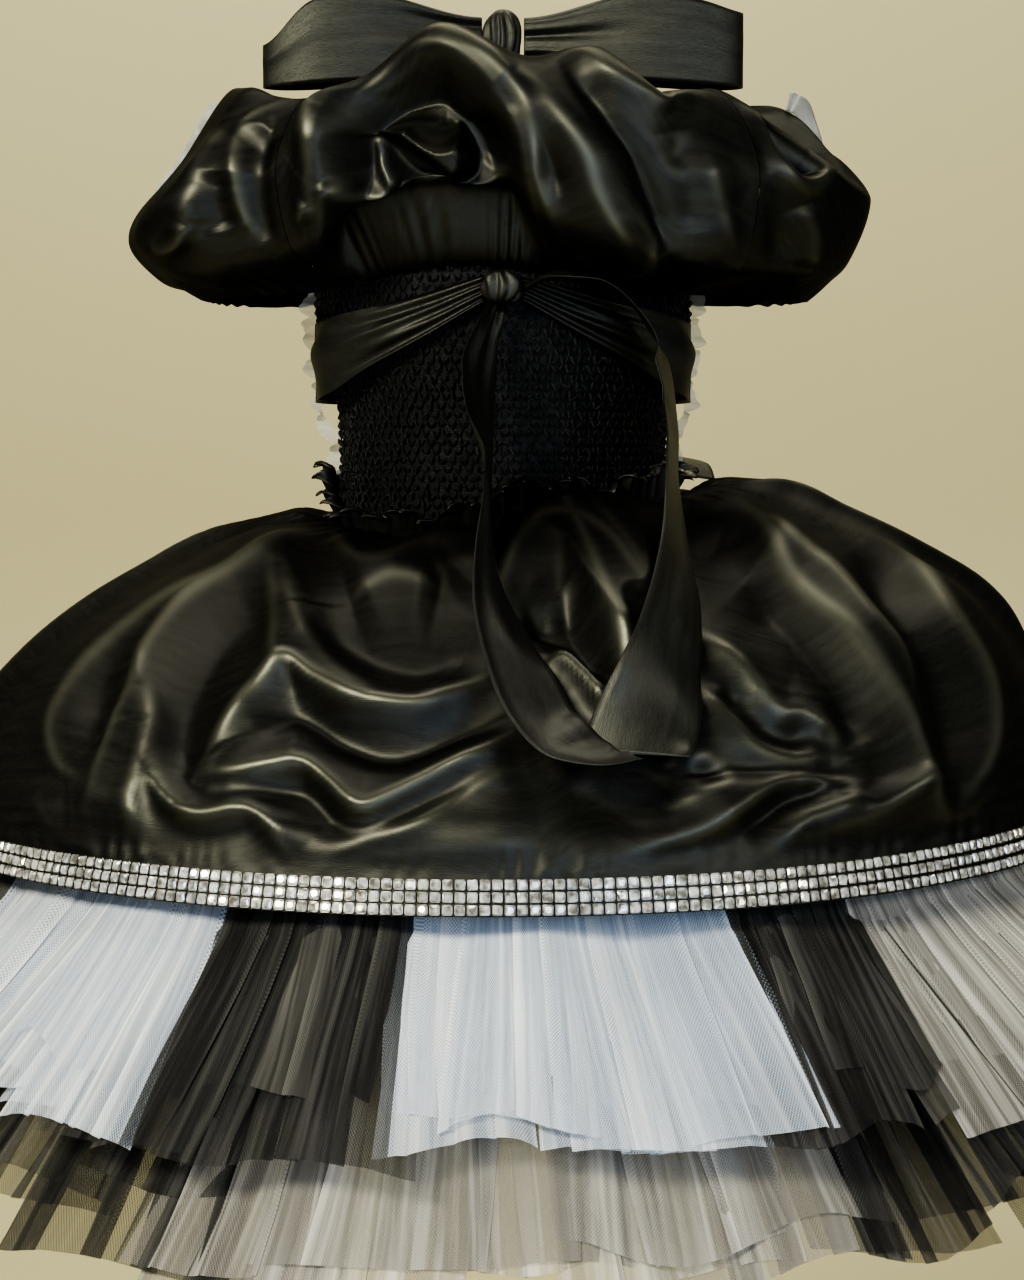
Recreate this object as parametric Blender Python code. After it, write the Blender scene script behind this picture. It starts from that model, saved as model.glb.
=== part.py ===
"""A child's black satin and crochet tutu dress with a white and black tulle skirt.

The side with the ribbon tie is the back of the dress and faces -Y. The origin is on the
body's axis at the waist, where the wearer holds the dress up. Lengths in the tables are
millimetres and turns are degrees from the back centre, positive towards +X.
"""

import math
from collections import namedtuple

import bmesh
import bpy
import numpy as np
from mathutils import Vector
from mathutils.bvhtree import BVHTree

MM = 0.001

# Driving sizes of the garment
CROCHET_WALL = 3.0
SATIN_WALL = 1.3
TULLE_WALL = 1.1
RIBBON_WALL = 1.1
SEAM_GAP = 0.45
RIBBON_WIDTH = 50.0
TRIM_WIDTH = 17.0
TRIM_WALL = 1.6
HEADER_TALL = 19.0
HEADER_FLARE = 7.5
KNOT_HEIGHT = 118.0
KNOT_OUT = 10.0
KNOT_HALF_SIZE = (12.5, 8.0, 10.0)
BODICE_TOP = 165.0
BODICE_FOOT = -56.0

# How finely each piece is divided
BODICE_COLUMNS = 32
SKIRT_BACK_STEP = 3.2
SKIRT_FRONT_STEP = 8.7
SKIRT_ROWS = 16
HEADER_GATHERS = 34
SEGMENTS_PER_GATHER = 2
TULLE_ROWS_UPPER = 4
TULLE_ROWS_LOWER = 3

# Where the camera of the reference view stands, so that folds can be placed as they are seen
VIEW_DISTANCE = 1400.0
VIEW_HEIGHT = 19.0
VIEW_FOCAL = 2393.0
VIEW_MIDDLE_X = 503.0
VIEW_MIDDLE_Y = 640.0
VIEW_TILT = math.atan(170.0 / VIEW_FOCAL)
VIEW_MM_PER_PIXEL = 0.5

Finish = namedtuple("Finish", "red green blue roughness metallic")
BLACK_SATIN = Finish(0.020, 0.019, 0.015, 0.32, 0.0)
BLACK_CROCHET = Finish(0.012, 0.012, 0.013, 0.85, 0.0)
BLACK_TULLE = Finish(0.055, 0.052, 0.050, 0.80, 0.0)
WHITE_TULLE = Finish(0.72, 0.76, 0.82, 0.75, 0.0)
GREY_TULLE = Finish(0.38, 0.35, 0.33, 0.78, 0.0)
WHITE_ORGANZA = Finish(0.78, 0.80, 0.84, 0.55, 0.0)
WHITE_RIBBON = Finish(0.85, 0.85, 0.83, 0.40, 0.0)
CLEAR_STONES = Finish(0.75, 0.77, 0.80, 0.12, 0.8)


def columns(names, *rows):
    """One array for each named column of a short table."""
    return {name: np.array(values, float) for name, values in zip(names.split(), zip(*rows))}


BODICE = columns(
    "height half_width half_depth",
    (BODICE_FOOT, 94.0, 77.0),
    (20.0, 94.0, 77.0),
    (50.0, 95.0, 78.0),
    (80.0, 101.0, 80.5),
    (110.0, 108.0, 83.0),
    (BODICE_TOP, 108.0, 83.0),
)

# Height of the overskirt's elastic channel round the waist
WAIST = columns(
    "turn height",
    (-180, -12), (-90, -8), (-68, -22), (-48, -33), (-30, -30), (-10, -21), (10, -16), (28, -10), (60, -8),
    (90, -4), (135, -8), (180, -12),
)

# Overskirt from the first ring outside the channel to the hem; heights at the left, back and right
SKIRT = columns(
    "half_width half_depth left back right",
    (101.0, 84.0, -6.0, -20.0, 1.0),
    (112.0, 95.0, -3.0, -17.0, 9.0),
    (131.0, 115.0, -7.0, -16.0, 13.0),
    (161.0, 146.0, -16.0, -19.0, 10.0),
    (200.0, 188.0, -38.0, -31.0, -8.0),
    (238.0, 228.0, -62.0, -50.0, -30.0),
    (271.0, 264.0, -87.0, -77.0, -50.0),
    (298.0, 294.0, -117.0, -110.0, -84.0),
    (318.0, 316.0, -148.0, -145.0, -133.0),
    (329.0, 329.0, -183.0, -183.0, -179.0),
)

# Tulle layers from the waist knots to the hem
UPPER_TULLE = columns(
    "radius height wave",
    (128.0, -43.0, 1.5), (180.0, -62.0, 3.5), (240.0, -96.0, 5.0), (288.0, -148.0, 5.0),
    (312.0, -187.0, 5.0), (358.0, -226.0, 7.5), (405.0, -264.0, 9.0),
)
LOWER_TULLE = columns(
    "radius height wave",
    (124.0, -70.0, 1.5), (175.0, -94.0, 3.5), (235.0, -130.0, 5.0), (285.0, -174.0, 6.0),
    (320.0, -216.0, 7.0), (383.0, -281.0, 8.0), (424.0, -317.0, 9.0),
)

# Knotted strips of the upper layer, by where each block of one colour starts and ends
TULLE_BLOCKS = [
    ("white", -9, 18), ("black", 18, 34), ("grey", 34, 60), ("white", 60, 84), ("black", 84, 108),
    ("white", 108, 134), ("black", 134, 158), ("white", 158, 184), ("black", 184, 208),
    ("white", 208, 232), ("black", 232, 256), ("white", 256, 280), ("black", 280, 304),
    ("white", 304, 333), ("black", 333, 351),
]
LOWER_BLOCKS = [
    ("grey", -20, 22), ("black", 22, 52), ("white", 52, 88), ("black", 88, 122), ("grey", 122, 160),
    ("black", 160, 196), ("white", 196, 232), ("black", 232, 268), ("grey", 268, 304), ("black", 304, 340),
]
DEGREES_PER_PLEAT = 5.0
LOWER_DEGREES_A_PLEAT = 9.0
BLOCK_GAP = 0.3
UPPER_ROOT_DROP = 9.0
LOWER_ROOT_DROP = 22.0
UPPER_UNEVEN = 0.016
LOWER_UNEVEN = 0.012

# Off-shoulder flounce, one row for each section round the body: how far out from the bodice,
# and how high, are the neck edge, crest, outermost line, lowest line and lower edge, and how
# round the cloth is from the crest to the outermost line
FLOUNCE = columns(
    "turn neck_out neck_up crest_out crest_up far_out far_up low_out low_up hem_out hem_up round",
    (-180, 0.7, 158, 34, 268, 60, 200, 46, 142, 0.7, 124, 0.9),
    (-150, 0.7, 158, 32, 250, 60, 192, 48, 140, 0.7, 122, 0.9),
    (-132, 8, 168, 38, 238, 70, 182, 60, 138, 14, 120, 0.7),
    (-112, 36, 196, 46, 236, 94, 166, 82, 134, 54, 117, 0.3),
    (-90, 44, 205, 48, 237, 107, 152, 92, 132, 66, 117, 0.0),
    (-68, 36, 198, 46, 232, 94, 162, 78, 130, 50, 115, 0.2),
    (-48, 6, 166, 40, 220, 64, 180, 52, 138, 10, 122, 0.5),
    (-36, 0.7, 158, 36, 228, 66, 192, 56, 146, 0.7, 126, 0.9),
    (-12, 0.7, 158, 36, 251, 66, 204, 52, 158, 0.7, 130, 0.9),
    (5, 0.7, 158, 34, 238, 62, 200, 52, 158, 0.7, 128, 0.9),
    (20, 0.7, 158, 38, 243, 72, 188, 60, 142, 0.7, 124, 0.8),
    (35, 0.7, 158, 40, 222, 76, 174, 62, 130, 0.7, 120, 0.8),
    (50, 12, 170, 44, 225, 80, 174, 66, 126, 16, 116, 0.7),
    (66, 36, 180, 54, 210, 92, 176, 78, 127, 48, 115, 0.6),
    (82, 50, 172, 70, 189, 103, 172, 90, 134, 66, 116, 0.8),
    (98, 50, 176, 88, 206, 108, 182, 95, 140, 68, 117, 0.6),
    (116, 36, 190, 80, 240, 100, 196, 84, 142, 50, 118, 0.5),
    (134, 8, 168, 44, 242, 72, 190, 60, 138, 14, 120, 0.7),
    (150, 0.7, 158, 32, 250, 60, 192, 48, 140, 0.7, 122, 0.9),
    (180, 0.7, 158, 34, 268, 60, 200, 46, 142, 0.7, 124, 0.9),
)
FLOUNCE_HALF_WIDTH = 108.0
FLOUNCE_HALF_DEPTH = 83.0
FLOUNCE_PANELS = [
    ("flounce_back", -48, 50, 22), ("puff_right", 50, 133, 13),
    ("flounce_front", 133, 227, 14), ("puff_left", 227, 312, 13),
]
FLOUNCE_ROWS = 14
PANEL_GAP = 0.16

# Folds as they are seen, in the reference view's 1024 by 1280 pixels: the line that each one
# follows, its half width and its rise out of the cloth, or its depth where negative, in millimetres
Fold = namedtuple("Fold", "half_width rise line")
SKIRT_FOLDS = [
    Fold(13, 9, [(250, 545), (160, 590), (90, 640), (60, 710), (65, 760), (95, 800)]),
    Fold(12, 9, [(285, 560), (200, 610), (150, 655), (140, 690), (110, 790)]),
    Fold(12, -9, [(210, 590), (125, 650), (100, 720), (105, 760)]),
    Fold(16, -12, [(300, 590), (210, 650), (175, 720), (180, 780)]),
    Fold(12, 9, [(155, 745), (170, 800), (200, 815), (245, 805), (285, 840)]),
    Fold(14, 12, [(197, 772), (246, 711), (289, 669), (330, 691), (400, 712), (460, 700), (505, 680)]),
    Fold(12, -10, [(255, 740), (300, 715), (360, 745), (430, 735)]),
    Fold(13, 11, [(203, 775), (293, 762), (350, 800), (400, 790), (470, 755), (530, 730)]),
    Fold(16, -10, [(300, 640), (370, 670), (440, 670), (490, 640)]),
    Fold(30, 9, [(560, 560), (590, 620), (600, 680)]),
    Fold(12, -10, [(520, 620), (560, 690), (600, 740)]),
    Fold(14, 10, [(707, 650), (750, 676), (782, 705), (839, 740), (782, 757), (702, 704)]),
    Fold(14, -10, [(700, 770), (770, 770), (840, 765)]),
    Fold(14, 10, [(702, 836), (775, 788), (847, 778), (852, 790), (800, 822)]),
    Fold(12, 9, [(757, 545), (819, 580), (864, 625), (906, 690), (914, 768), (874, 811)]),
    Fold(14, -10, [(740, 580), (800, 630), (850, 690), (870, 740)]),
    Fold(12, 9, [(894, 560), (955, 644), (975, 700), (975, 750), (955, 810)]),
    Fold(12, -9, [(860, 560), (920, 640), (945, 720), (935, 790)]),
]

# Folds on the sides and front, each placed by its turn and its length down from the waist
SKIRT_MM_PER_DEGREE = 4.4
FLOUNCE_MM_PER_DEGREE = 2.6
SIDE_FOLDS = [
    Fold(15, 10, [(66, 40), (74, 110), (82, 190), (79, 245)]),
    Fold(14, -10, [(88, 30), (92, 110), (96, 200), (91, 255)]),
    Fold(15, 11, [(102, 60), (110, 150), (104, 215), (112, 262)]),
    Fold(13, -9, [(120, 40), (123, 120), (131, 200)]),
    Fold(15, 10, [(140, 30), (136, 120), (144, 185), (154, 225)]),
    Fold(14, 10, [(170, 215), (158, 170), (166, 120), (180, 110)]),
    Fold(15, -11, [(172, 60), (186, 140), (182, 210)]),
    Fold(15, 11, [(196, 50), (204, 130), (198, 210), (206, 255)]),
    Fold(13, -9, [(216, 40), (221, 130), (228, 205)]),
    Fold(14, 10, [(238, 60), (234, 140), (243, 215), (252, 250)]),
    Fold(14, -9, [(256, 40), (262, 130), (258, 220)]),
    Fold(14, 9, [(274, 50), (280, 130), (285, 220), (280, 262)]),
]

FLOUNCE_FOLDS = [
    Fold(9, -15, [(262, 100), (284, 145), (274, 200), (268, 240)]),
    Fold(9, 8, [(300, 213), (312, 150), (330, 92), (385, 52), (440, 45), (488, 72), (514, 110), (556, 190)]),
    Fold(10, -9, [(530, 60), (552, 120), (572, 180)]),
    Fold(16, 7, [(580, 80), (590, 150), (612, 235)]),
    Fold(10, -10, [(645, 115), (655, 170), (648, 235)]),
    Fold(14, 6, [(705, 110), (735, 180), (750, 260)]),
    Fold(9, -7, [(765, 170), (790, 215), (795, 265)]),
    Fold(10, -8, [(215, 130), (200, 190), (215, 260)]),
    Fold(10, 6, [(180, 180), (175, 220), (195, 270)]),
]
FLOUNCE_SIDE_FOLDS = [
    Fold(9, -8, [(100, 75), (104, 130), (101, 180)]),
    Fold(9, 6, [(118, 75), (121, 130), (118, 175)]),
    Fold(9, -9, [(138, 75), (141, 130), (137, 180)]),
    Fold(10, 7, [(155, 80), (158, 140), (154, 190)]),
    Fold(9, -9, [(172, 75), (170, 130), (175, 180)]),
    Fold(10, 7, [(190, 80), (193, 140), (188, 190)]),
    Fold(9, -9, [(207, 75), (204, 130), (209, 180)]),
    Fold(9, 6, [(224, 75), (227, 130), (223, 180)]),
    Fold(9, -8, [(243, 75), (240, 130), (245, 180)]),
    Fold(10, 6, [(262, 75), (266, 130), (262, 180)]),
]
# The hollow under the curled part of the flounce
CURL_MIDDLE = (412.0, 140.0)
CURL_HALF_SIZE = (88.0, 80.0)
CURL_DEPTH = 30.0
CURL_FLAP = Fold(12, 10, [(352, 128), (385, 122), (430, 135), (466, 165), (478, 195)])

# Sash arms from the side to the knot
SASH_ARM = columns(
    "turn top bottom out",
    (5.3, 125, 111, 5.0), (22, 116, 93, 4.5), (40, 109, 77, 5.0), (60, 105, 62, 5.5), (80, 103, 58, 1.75),
)
SASH_FRONT_TURNS = (80.4, 279.6)

# The two hanging ends of the sash: places along the ribbon's middle, how far it is turned on edge
# there, and how much of its width it is gathered to; where it reaches the skirt it is laid on it
LEFT_TAIL = columns(
    "across along up roll broad",
    (-3, -94, 107.2, 50, 0.24), (-8, -103, 92, 70, 0.52), (-13, -114, 66, 64, 0.8), (-12, -126, 38, 72, 0.94),
    (-7.8, -156, 7.6, 87, 1), (-7.6, -192, -11.3, 85, 1), (-6.9, -224, -31.1, 76, 1), (-2, -254, -56, 58, 1),
    (8, -280, -80, 44, 0.98), (19, -300, -99, 36, 0.95), (33, -312, -110, 30, 0.86), (47.5, -318, -112, 30, 0.6),
    (60.9, -320, -110.5, 30, 0.3),
)
RIGHT_TAIL = columns(
    "across along up roll broad",
    (13.4, -93.5, 118.5, 20, 0.24), (28, -101, 124, 24, 0.44), (50, -106, 122, 30, 0.64), (72, -102, 106, 40, 0.84),
    (86, -98, 80, 60, 0.96), (91, -106, 48, 76, 1), (91, -130, 21, 80, 1), (90.2, -160, 4.5, 77, 1),
    (89.5, -190, -10.3, 73, 1), (88.3, -220, -26.4, 68, 1), (84.6, -248, -49.4, 60, 1), (79.4, -269, -68.4, 52, 1),
    (74, -284, -84.1, 36, 1), (67, -295, -98.5, 18, 1), (60, -303, -112, 4, 0.98),
)
TAIL_CLEARANCE = 2.4
CROSSING_CLEARANCE = 5.0
# The way in which a tail is moved off what it lies on
OFF_THE_SKIRT = (0.0, -0.7071, 0.7071)
TAIL_SEGMENTS = 20
HIGH_ABOVE = 400.0

# White gathered organza down each side of the front
RUFFLE_TOP = 124.0
RUFFLE_FOOT = 14.0
RUFFLE_WAVES = 8
RUFFLE_TURN = 104.0
RUFFLE_STANDS = 17.0
RUFFLE_SWING = 6.0

# White ribbon trims standing on the front slope of each puff
SHOULDER_TRIM = columns(
    "turn from_length to_length stands",
    (-100, 52, 108, 13), (112, 66, 122, 12),
)

# Wide ribbon bow at the front neckline, seen from above: loop line from the knot and back
BOW_REACH = 150.0
BOW_BELLY = 17.0
BOW_MIDDLE_UP = 287.3
BOW_TALL = 52.0
BOW_PINCHED_TALL = 26.0
BOW_MIDDLE_DEPTH = 118.0
BOW_ENDS_APART = 5.0
BOW_SEGMENTS = 16
KNOT_HALF_WIDTH = 13.0
BOW_KNOT_HALF_SIZE = (KNOT_HALF_WIDTH, 11.0, 19.0)

scene_objects = bpy.data.objects
for old in list(scene_objects):
    scene_objects.remove(old, do_unlink=True)


def smooth(at, places, values):
    """A smooth curve through the rows of a table that never swings past them, flat past its ends."""
    at = np.clip(np.asarray(at, float), places[0], places[-1])
    steps = np.diff(places)
    slopes = np.diff(values) / steps
    lean = np.concatenate([slopes[:1], slopes[:-1], slopes[-1:]])
    before, after = slopes[:-1], slopes[1:]
    same_way = before * after > 0
    lean[1:-1] = np.where(same_way, 2 * before * after / np.where(same_way, before + after, 1), 0)
    row = np.clip(np.searchsorted(places, at, side="right") - 1, 0, len(places) - 2)
    share = (at - places[row]) / steps[row]
    start, end = values[row], values[row + 1]
    bend = steps[row] * (lean[row] * share * (1 - share) ** 2 - lean[row + 1] * share**2 * (1 - share))
    return start * (1 + 2 * share) * (1 - share) ** 2 + end * share**2 * (3 - 2 * share) + bend


def ramp(value, low, high):
    """0 below low and 1 above high, with a soft change between them."""
    share = np.clip((np.asarray(value, float) - low) / (high - low), 0, 1)
    return share * share * (3 - 2 * share)


def wrapped(turn):
    """The same turn from -180 to 180 degrees."""
    return (np.asarray(turn, float) + 180) % 360 - 180


def seen(points):
    """Where points show in the reference view, in its pixels."""
    across, along, up = points[..., 0], points[..., 1] + VIEW_DISTANCE, points[..., 2] - VIEW_HEIGHT
    depth = along * math.cos(VIEW_TILT) - up * math.sin(VIEW_TILT)
    rise = up * math.cos(VIEW_TILT) + along * math.sin(VIEW_TILT)
    across, rise = VIEW_FOCAL * across / depth, VIEW_FOCAL * rise / depth
    return np.stack([VIEW_MIDDLE_X + across, VIEW_MIDDLE_Y - rise], -1)


def fold_height(places, fold, size):
    """Rise of one fold at places in the plane of its line, where size turns that plane to millimetres."""
    line = np.array(fold.line, float) * size
    places = places * size
    runs = np.diff(line, axis=0)
    lengths = np.hypot(runs[:, 0], runs[:, 1])
    reached = np.concatenate([[0], np.cumsum(lengths)])
    best = np.full(places.shape[:-1], 1e9)
    share = np.zeros(places.shape[:-1])
    for start, run, length, before in zip(line[:-1], runs, lengths, reached[:-1]):
        along = np.clip(((places - start) @ run) / length**2, 0, 1)
        gap = np.linalg.norm(places - start - along[..., None] * run, axis=-1)
        nearer = gap < best
        best = np.where(nearer, gap, best)
        share = np.where(nearer, (before + along * length) / reached[-1], share)
    taper = ramp(share, -0.12, 0.25) * ramp(-share, -1.12, -0.75)
    return fold.rise * np.exp(-((best / fold.half_width) ** 2)) * taper


def oval(half_width, half_depth, turn):
    """Point and outward direction of an oval round the body."""
    angle = np.radians(turn)
    point = np.stack([half_width * np.sin(angle), -half_depth * np.cos(angle)], -1)
    out = np.stack([half_depth * np.sin(angle), -half_width * np.cos(angle)], -1)
    return point, out / np.linalg.norm(out, axis=-1, keepdims=True)


def lifted(flat, height):
    """A level point given its height."""
    return np.concatenate([flat, np.broadcast_to(height, flat.shape[:-1])[..., None]], -1)


def bodice_point(turn, height, out=0.0):
    """A point at a distance out from the bodice."""
    half_width = smooth(height, BODICE["height"], BODICE["half_width"])
    half_depth = smooth(height, BODICE["height"], BODICE["half_depth"])
    point, away = oval(half_width, half_depth, turn)
    return lifted(point + away * np.asarray(out, float)[..., None], height)


def waist_height(turn):
    """Height of the elastic channel at a turn."""
    return smooth(wrapped(turn), WAIST["turn"], WAIST["height"])


SKIRT_STEPS = np.hypot(np.diff(SKIRT["half_width"]), np.diff(SKIRT["back"]))
SKIRT_LENGTHS = np.concatenate([[0], np.cumsum(SKIRT_STEPS)])
SKIRT_LENGTH = SKIRT_LENGTHS[-1]
SKIRT_WAIST = -20.0


def skirt_base(turn, down):
    """The overskirt's plain form, at a length down from the channel."""
    half_width = smooth(down, SKIRT_LENGTHS, SKIRT["half_width"])
    half_depth = smooth(down, SKIRT_LENGTHS, SKIRT["half_depth"])
    side = np.sin(np.radians(turn))
    rightward, leftward = np.clip(side, 0, 1) ** 2, np.clip(-side, 0, 1) ** 2
    droop = (waist_height(turn) - SKIRT_WAIST) * (1 - ramp(down, 0, 120)) * np.cos(np.radians(turn)) ** 2
    middle = smooth(down, SKIRT_LENGTHS, SKIRT["back"]) + droop
    height = (
        middle
        + rightward * (smooth(down, SKIRT_LENGTHS, SKIRT["right"]) - middle)
        + leftward * (smooth(down, SKIRT_LENGTHS, SKIRT["left"]) - middle)
    )
    height = height + (waist_height(turn) + 0.2 - height) * (1 - ramp(down, 0, 24))
    point, away = oval(half_width, half_depth, turn)
    return lifted(point, height)


def grid_normals(points, ring):
    """Direction square to a grid of points at each of them."""
    if ring:
        across = np.roll(points, -1, axis=1) - np.roll(points, 1, axis=1)
    else:
        across = np.gradient(points, axis=1)
    down = np.gradient(points, axis=0)
    normal = np.cross(down, across)
    return normal / np.linalg.norm(normal, axis=-1, keepdims=True)


def skirt_grid(turns, lengths, ring=True):
    """The folded overskirt's outer face on a grid of turns and lengths down."""
    down, turn = np.meshgrid(lengths, turns, indexing="ij")
    base = skirt_base(turn, down)
    normal = grid_normals(base, ring)
    facing = ramp(-base[..., 1], 40, 110)
    rise = sum(fold_height(seen(base), fold, VIEW_MM_PER_PIXEL) for fold in SKIRT_FOLDS) * facing
    around = np.where(turn < 20, turn + 360, turn)
    places = np.stack([around * SKIRT_MM_PER_DEGREE, down], -1)
    for fold in SIDE_FOLDS:
        line = [(place * SKIRT_MM_PER_DEGREE, length) for place, length in fold.line]
        scaled = Fold(fold.half_width, fold.rise, line)
        rise = rise + fold_height(places, scaled, 1.0)
    gathers = 3.2 * np.sin(np.radians(turn) * 18 + 1.3 * np.sin(np.radians(turn) * 5))
    rise = np.clip(rise, -13, 14) + gathers * ramp(down, 4, 40) * (1 - ramp(down, 60, 190))
    fades = ramp(down, 8, 40) * (1 - ramp(down, SKIRT_LENGTH - 62, SKIRT_LENGTH - TRIM_WIDTH - 2))
    hem_wave = 1.6 * np.sin(np.radians(turn) * 7 + 0.6) * ramp(down, SKIRT_LENGTH - 60, SKIRT_LENGTH - 20)
    return base + normal * (rise * fades + hem_wave)[..., None]


def triangles(rows, count, ring, first, flip):
    """Faces of one side of a wall, split along the same diagonals on both sides."""
    faces = []
    for row in range(rows - 1):
        for column in range(count if ring else count - 1):
            beside = (column + 1) % count
            a, b = first + row * count + column, first + row * count + beside
            c, d = first + (row + 1) * count + beside, first + (row + 1) * count + column
            pair = [(a, b, c), (a, c, d)] if (row + column) % 2 else [(a, b, d), (b, c, d)]
            faces += [face[::-1] for face in pair] if flip else pair
    return faces


def finish_material(name, finish):
    """A plain finish in the piece's own colour."""
    material = bpy.data.materials.new(name)
    material.use_nodes = True
    shader = material.node_tree.nodes["Principled BSDF"]
    shader.inputs["Base Color"].default_value = (finish.red, finish.green, finish.blue, 1)
    shader.inputs["Roughness"].default_value = finish.roughness
    shader.inputs["Metallic"].default_value = finish.metallic
    return material


def add_piece(name, points, faces, finish):
    """One named solid with its faces pointing out."""
    mesh = bpy.data.meshes.new(name)
    mesh.from_pydata([tuple(point) for point in np.asarray(points) * MM], [], faces)
    shape = bmesh.new()
    shape.from_mesh(mesh)
    if shape.calc_volume(signed=True) < 0:
        bmesh.ops.reverse_faces(shape, faces=shape.faces)
    shape.to_mesh(mesh)
    shape.free()
    mesh.shade_smooth()
    mesh.set_sharp_from_angle(angle=math.radians(55))
    mesh.materials.append(finish_material(name + "_finish", finish))
    piece = bpy.data.objects.new(name, mesh)
    bpy.context.scene.collection.objects.link(piece)
    return piece


def add_wall(name, outer, inner, ring, finish):
    """A closed wall between two grids of points: a tube where ring is true, and a sheet otherwise."""
    rows, count = outer.shape[:2]
    total = rows * count
    faces = triangles(rows, count, ring, 0, False) + triangles(rows, count, ring, total, True)
    last = (rows - 1) * count
    for column in range(count if ring else count - 1):
        beside = (column + 1) % count
        faces.append((column, column + total, beside + total))
        faces.append((column, beside + total, beside))
        low, low_beside = last + column, last + beside
        faces.append((low, low_beside, low_beside + total))
        faces.append((low, low_beside + total, low + total))
    if not ring:
        for row in range(rows - 1):
            top, below = row * count, (row + 1) * count
            faces.append((top, below, below + total))
            faces.append((top, below + total, top + total))
            top, below = top + count - 1, below + count - 1
            faces.append((top, top + total, below + total))
            faces.append((top, below + total, below))
    points = np.concatenate([outer.reshape(-1, 3), inner.reshape(-1, 3)])
    return add_piece(name, points, faces, finish)


def ring_turns(count):
    """Even turns all the way round, from the left of the back."""
    return np.arange(count) * 360.0 / count - 180.0


def skirt_turns():
    """Turns all the way round, closer together at the back."""
    back_count = round(160 / SKIRT_BACK_STEP)
    front_count = round(200 / SKIRT_FRONT_STEP)
    back = np.linspace(-80, 80, back_count, endpoint=False)
    front = np.linspace(80, 280, front_count, endpoint=False)
    return np.concatenate([back, front])


def outward_sign(face, ring):
    """1 where the grid's direction points away from the body's axis, and -1 where it doesn't."""
    normal = grid_normals(face, ring)
    flat = face[..., :2] / np.linalg.norm(face[..., :2], axis=-1, keepdims=True)
    return 1.0 if (normal[..., :2] * flat).sum() > 0 else -1.0


def make_bodice():
    """Stretch crochet tube from under the skirts to the neckline."""
    height, turn = np.meshgrid(BODICE["height"][::-1], ring_turns(BODICE_COLUMNS), indexing="ij")
    outer = bodice_point(turn, height)
    inner = bodice_point(turn, height, np.full(height.shape, -CROCHET_WALL))
    add_wall("bodice", outer, inner, True, BLACK_CROCHET)


def skirt_rows():
    """Lengths down the overskirt, closer near the waist, with the last row as wide as the trim."""
    plain = np.linspace(0, 1, SKIRT_ROWS - 1) ** 0.95
    return np.concatenate([plain * (SKIRT_LENGTH - TRIM_WIDTH), [SKIRT_LENGTH]])


def make_overskirt():
    """Gathered black satin overskirt, sewn to the crochet at its elastic channel."""
    turns = skirt_turns()
    face = skirt_grid(turns, skirt_rows())
    seam = bodice_point(turns, waist_height(turns), np.full(turns.shape, SEAM_GAP))
    outer = np.concatenate([seam[None], face])
    inner = outer - grid_normals(outer, True) * SATIN_WALL * outward_sign(outer, True)
    inner[0] = seam - np.array([0, 0, SATIN_WALL])
    return add_wall("overskirt", outer, inner, True, BLACK_SATIN)


def make_header():
    """Gathered frill that stands above the overskirt's channel."""
    count = HEADER_GATHERS * SEGMENTS_PER_GATHER
    turns = ring_turns(count)
    angle = np.radians(turns)
    wave = 0.5 + 0.5 * np.sin(angle * HEADER_GATHERS)
    uneven = 0.75 + 0.25 * np.sin(angle * 5 + 1)
    foot = waist_height(turns) + SEAM_GAP + 0.5
    tall = HEADER_TALL * (0.86 + 0.14 * np.sin(angle * 7))
    rows = []
    for share, spread in ((1.0, 1.0), (0.4, 0.6), (0.0, 0.0)):
        out = SEAM_GAP + RIBBON_WALL + 0.2 + spread * (1.5 + HEADER_FLARE * wave * uneven)
        rows.append(bodice_point(turns, foot + tall * share, out))
    outer = np.array(rows)
    inner = outer - grid_normals(outer, True) * RIBBON_WALL * outward_sign(outer, True)
    add_wall("header_frill", outer, inner, True, BLACK_SATIN)


def make_trim():
    """Three-row stone trim laid on the overskirt's hem."""
    face = skirt_grid(skirt_turns(), skirt_rows())[-2:]
    normal = grid_normals(face, True) * outward_sign(face, True)
    foot = face + normal * SEAM_GAP
    add_wall("stone_trim", foot + normal * TRIM_WALL, foot, True, CLEAR_STONES)


def tulle_block(name, block, layer, pleats, rows, root_drop, uneven):
    """One block of pleated tulle strips, knotted at the waist and flaring to the hem."""
    colour, start, end = block
    turns = np.linspace(start + BLOCK_GAP / 2, end - BLOCK_GAP / 2, pleats * 2 + 1)
    lengths = np.concatenate([[0], np.cumsum(np.hypot(np.diff(layer["radius"]), np.diff(layer["height"])))])
    down, turn = np.meshgrid(np.linspace(0, 1, rows) ** 1.15 * lengths[-1], turns, indexing="ij")
    column = np.arange(len(turns))
    own_length = 1 + uneven * np.sin(column * 1.7 + start) * ramp(down, lengths[-2] - 20, lengths[-1])
    radius = smooth(down, lengths, layer["radius"]) * own_length
    height = smooth(down, lengths, layer["height"]) * own_length
    wave = smooth(down, lengths, layer["wave"]) * np.where(column % 2, 1.0, -1.0)
    slope = np.stack([np.gradient(radius, axis=0), np.gradient(height, axis=0)], -1)
    slope = slope / np.linalg.norm(slope, axis=-1, keepdims=True)
    radius, height = radius - slope[..., 1] * wave, height + slope[..., 0] * wave
    angle = np.radians(turn)
    body = np.stack([radius * np.sin(angle), -radius * np.cos(angle), height], -1)
    root = bodice_point(turns, waist_height(turns) - root_drop, np.full(turns.shape, SEAM_GAP))
    outer = np.concatenate([root[None], body])
    inner = outer - grid_normals(outer, False) * TULLE_WALL * outward_sign(outer, False)
    inner[0] = root - np.array([0, 0, TULLE_WALL])
    add_wall(name, outer, inner, False, TULLE_FINISH[colour])


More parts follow.
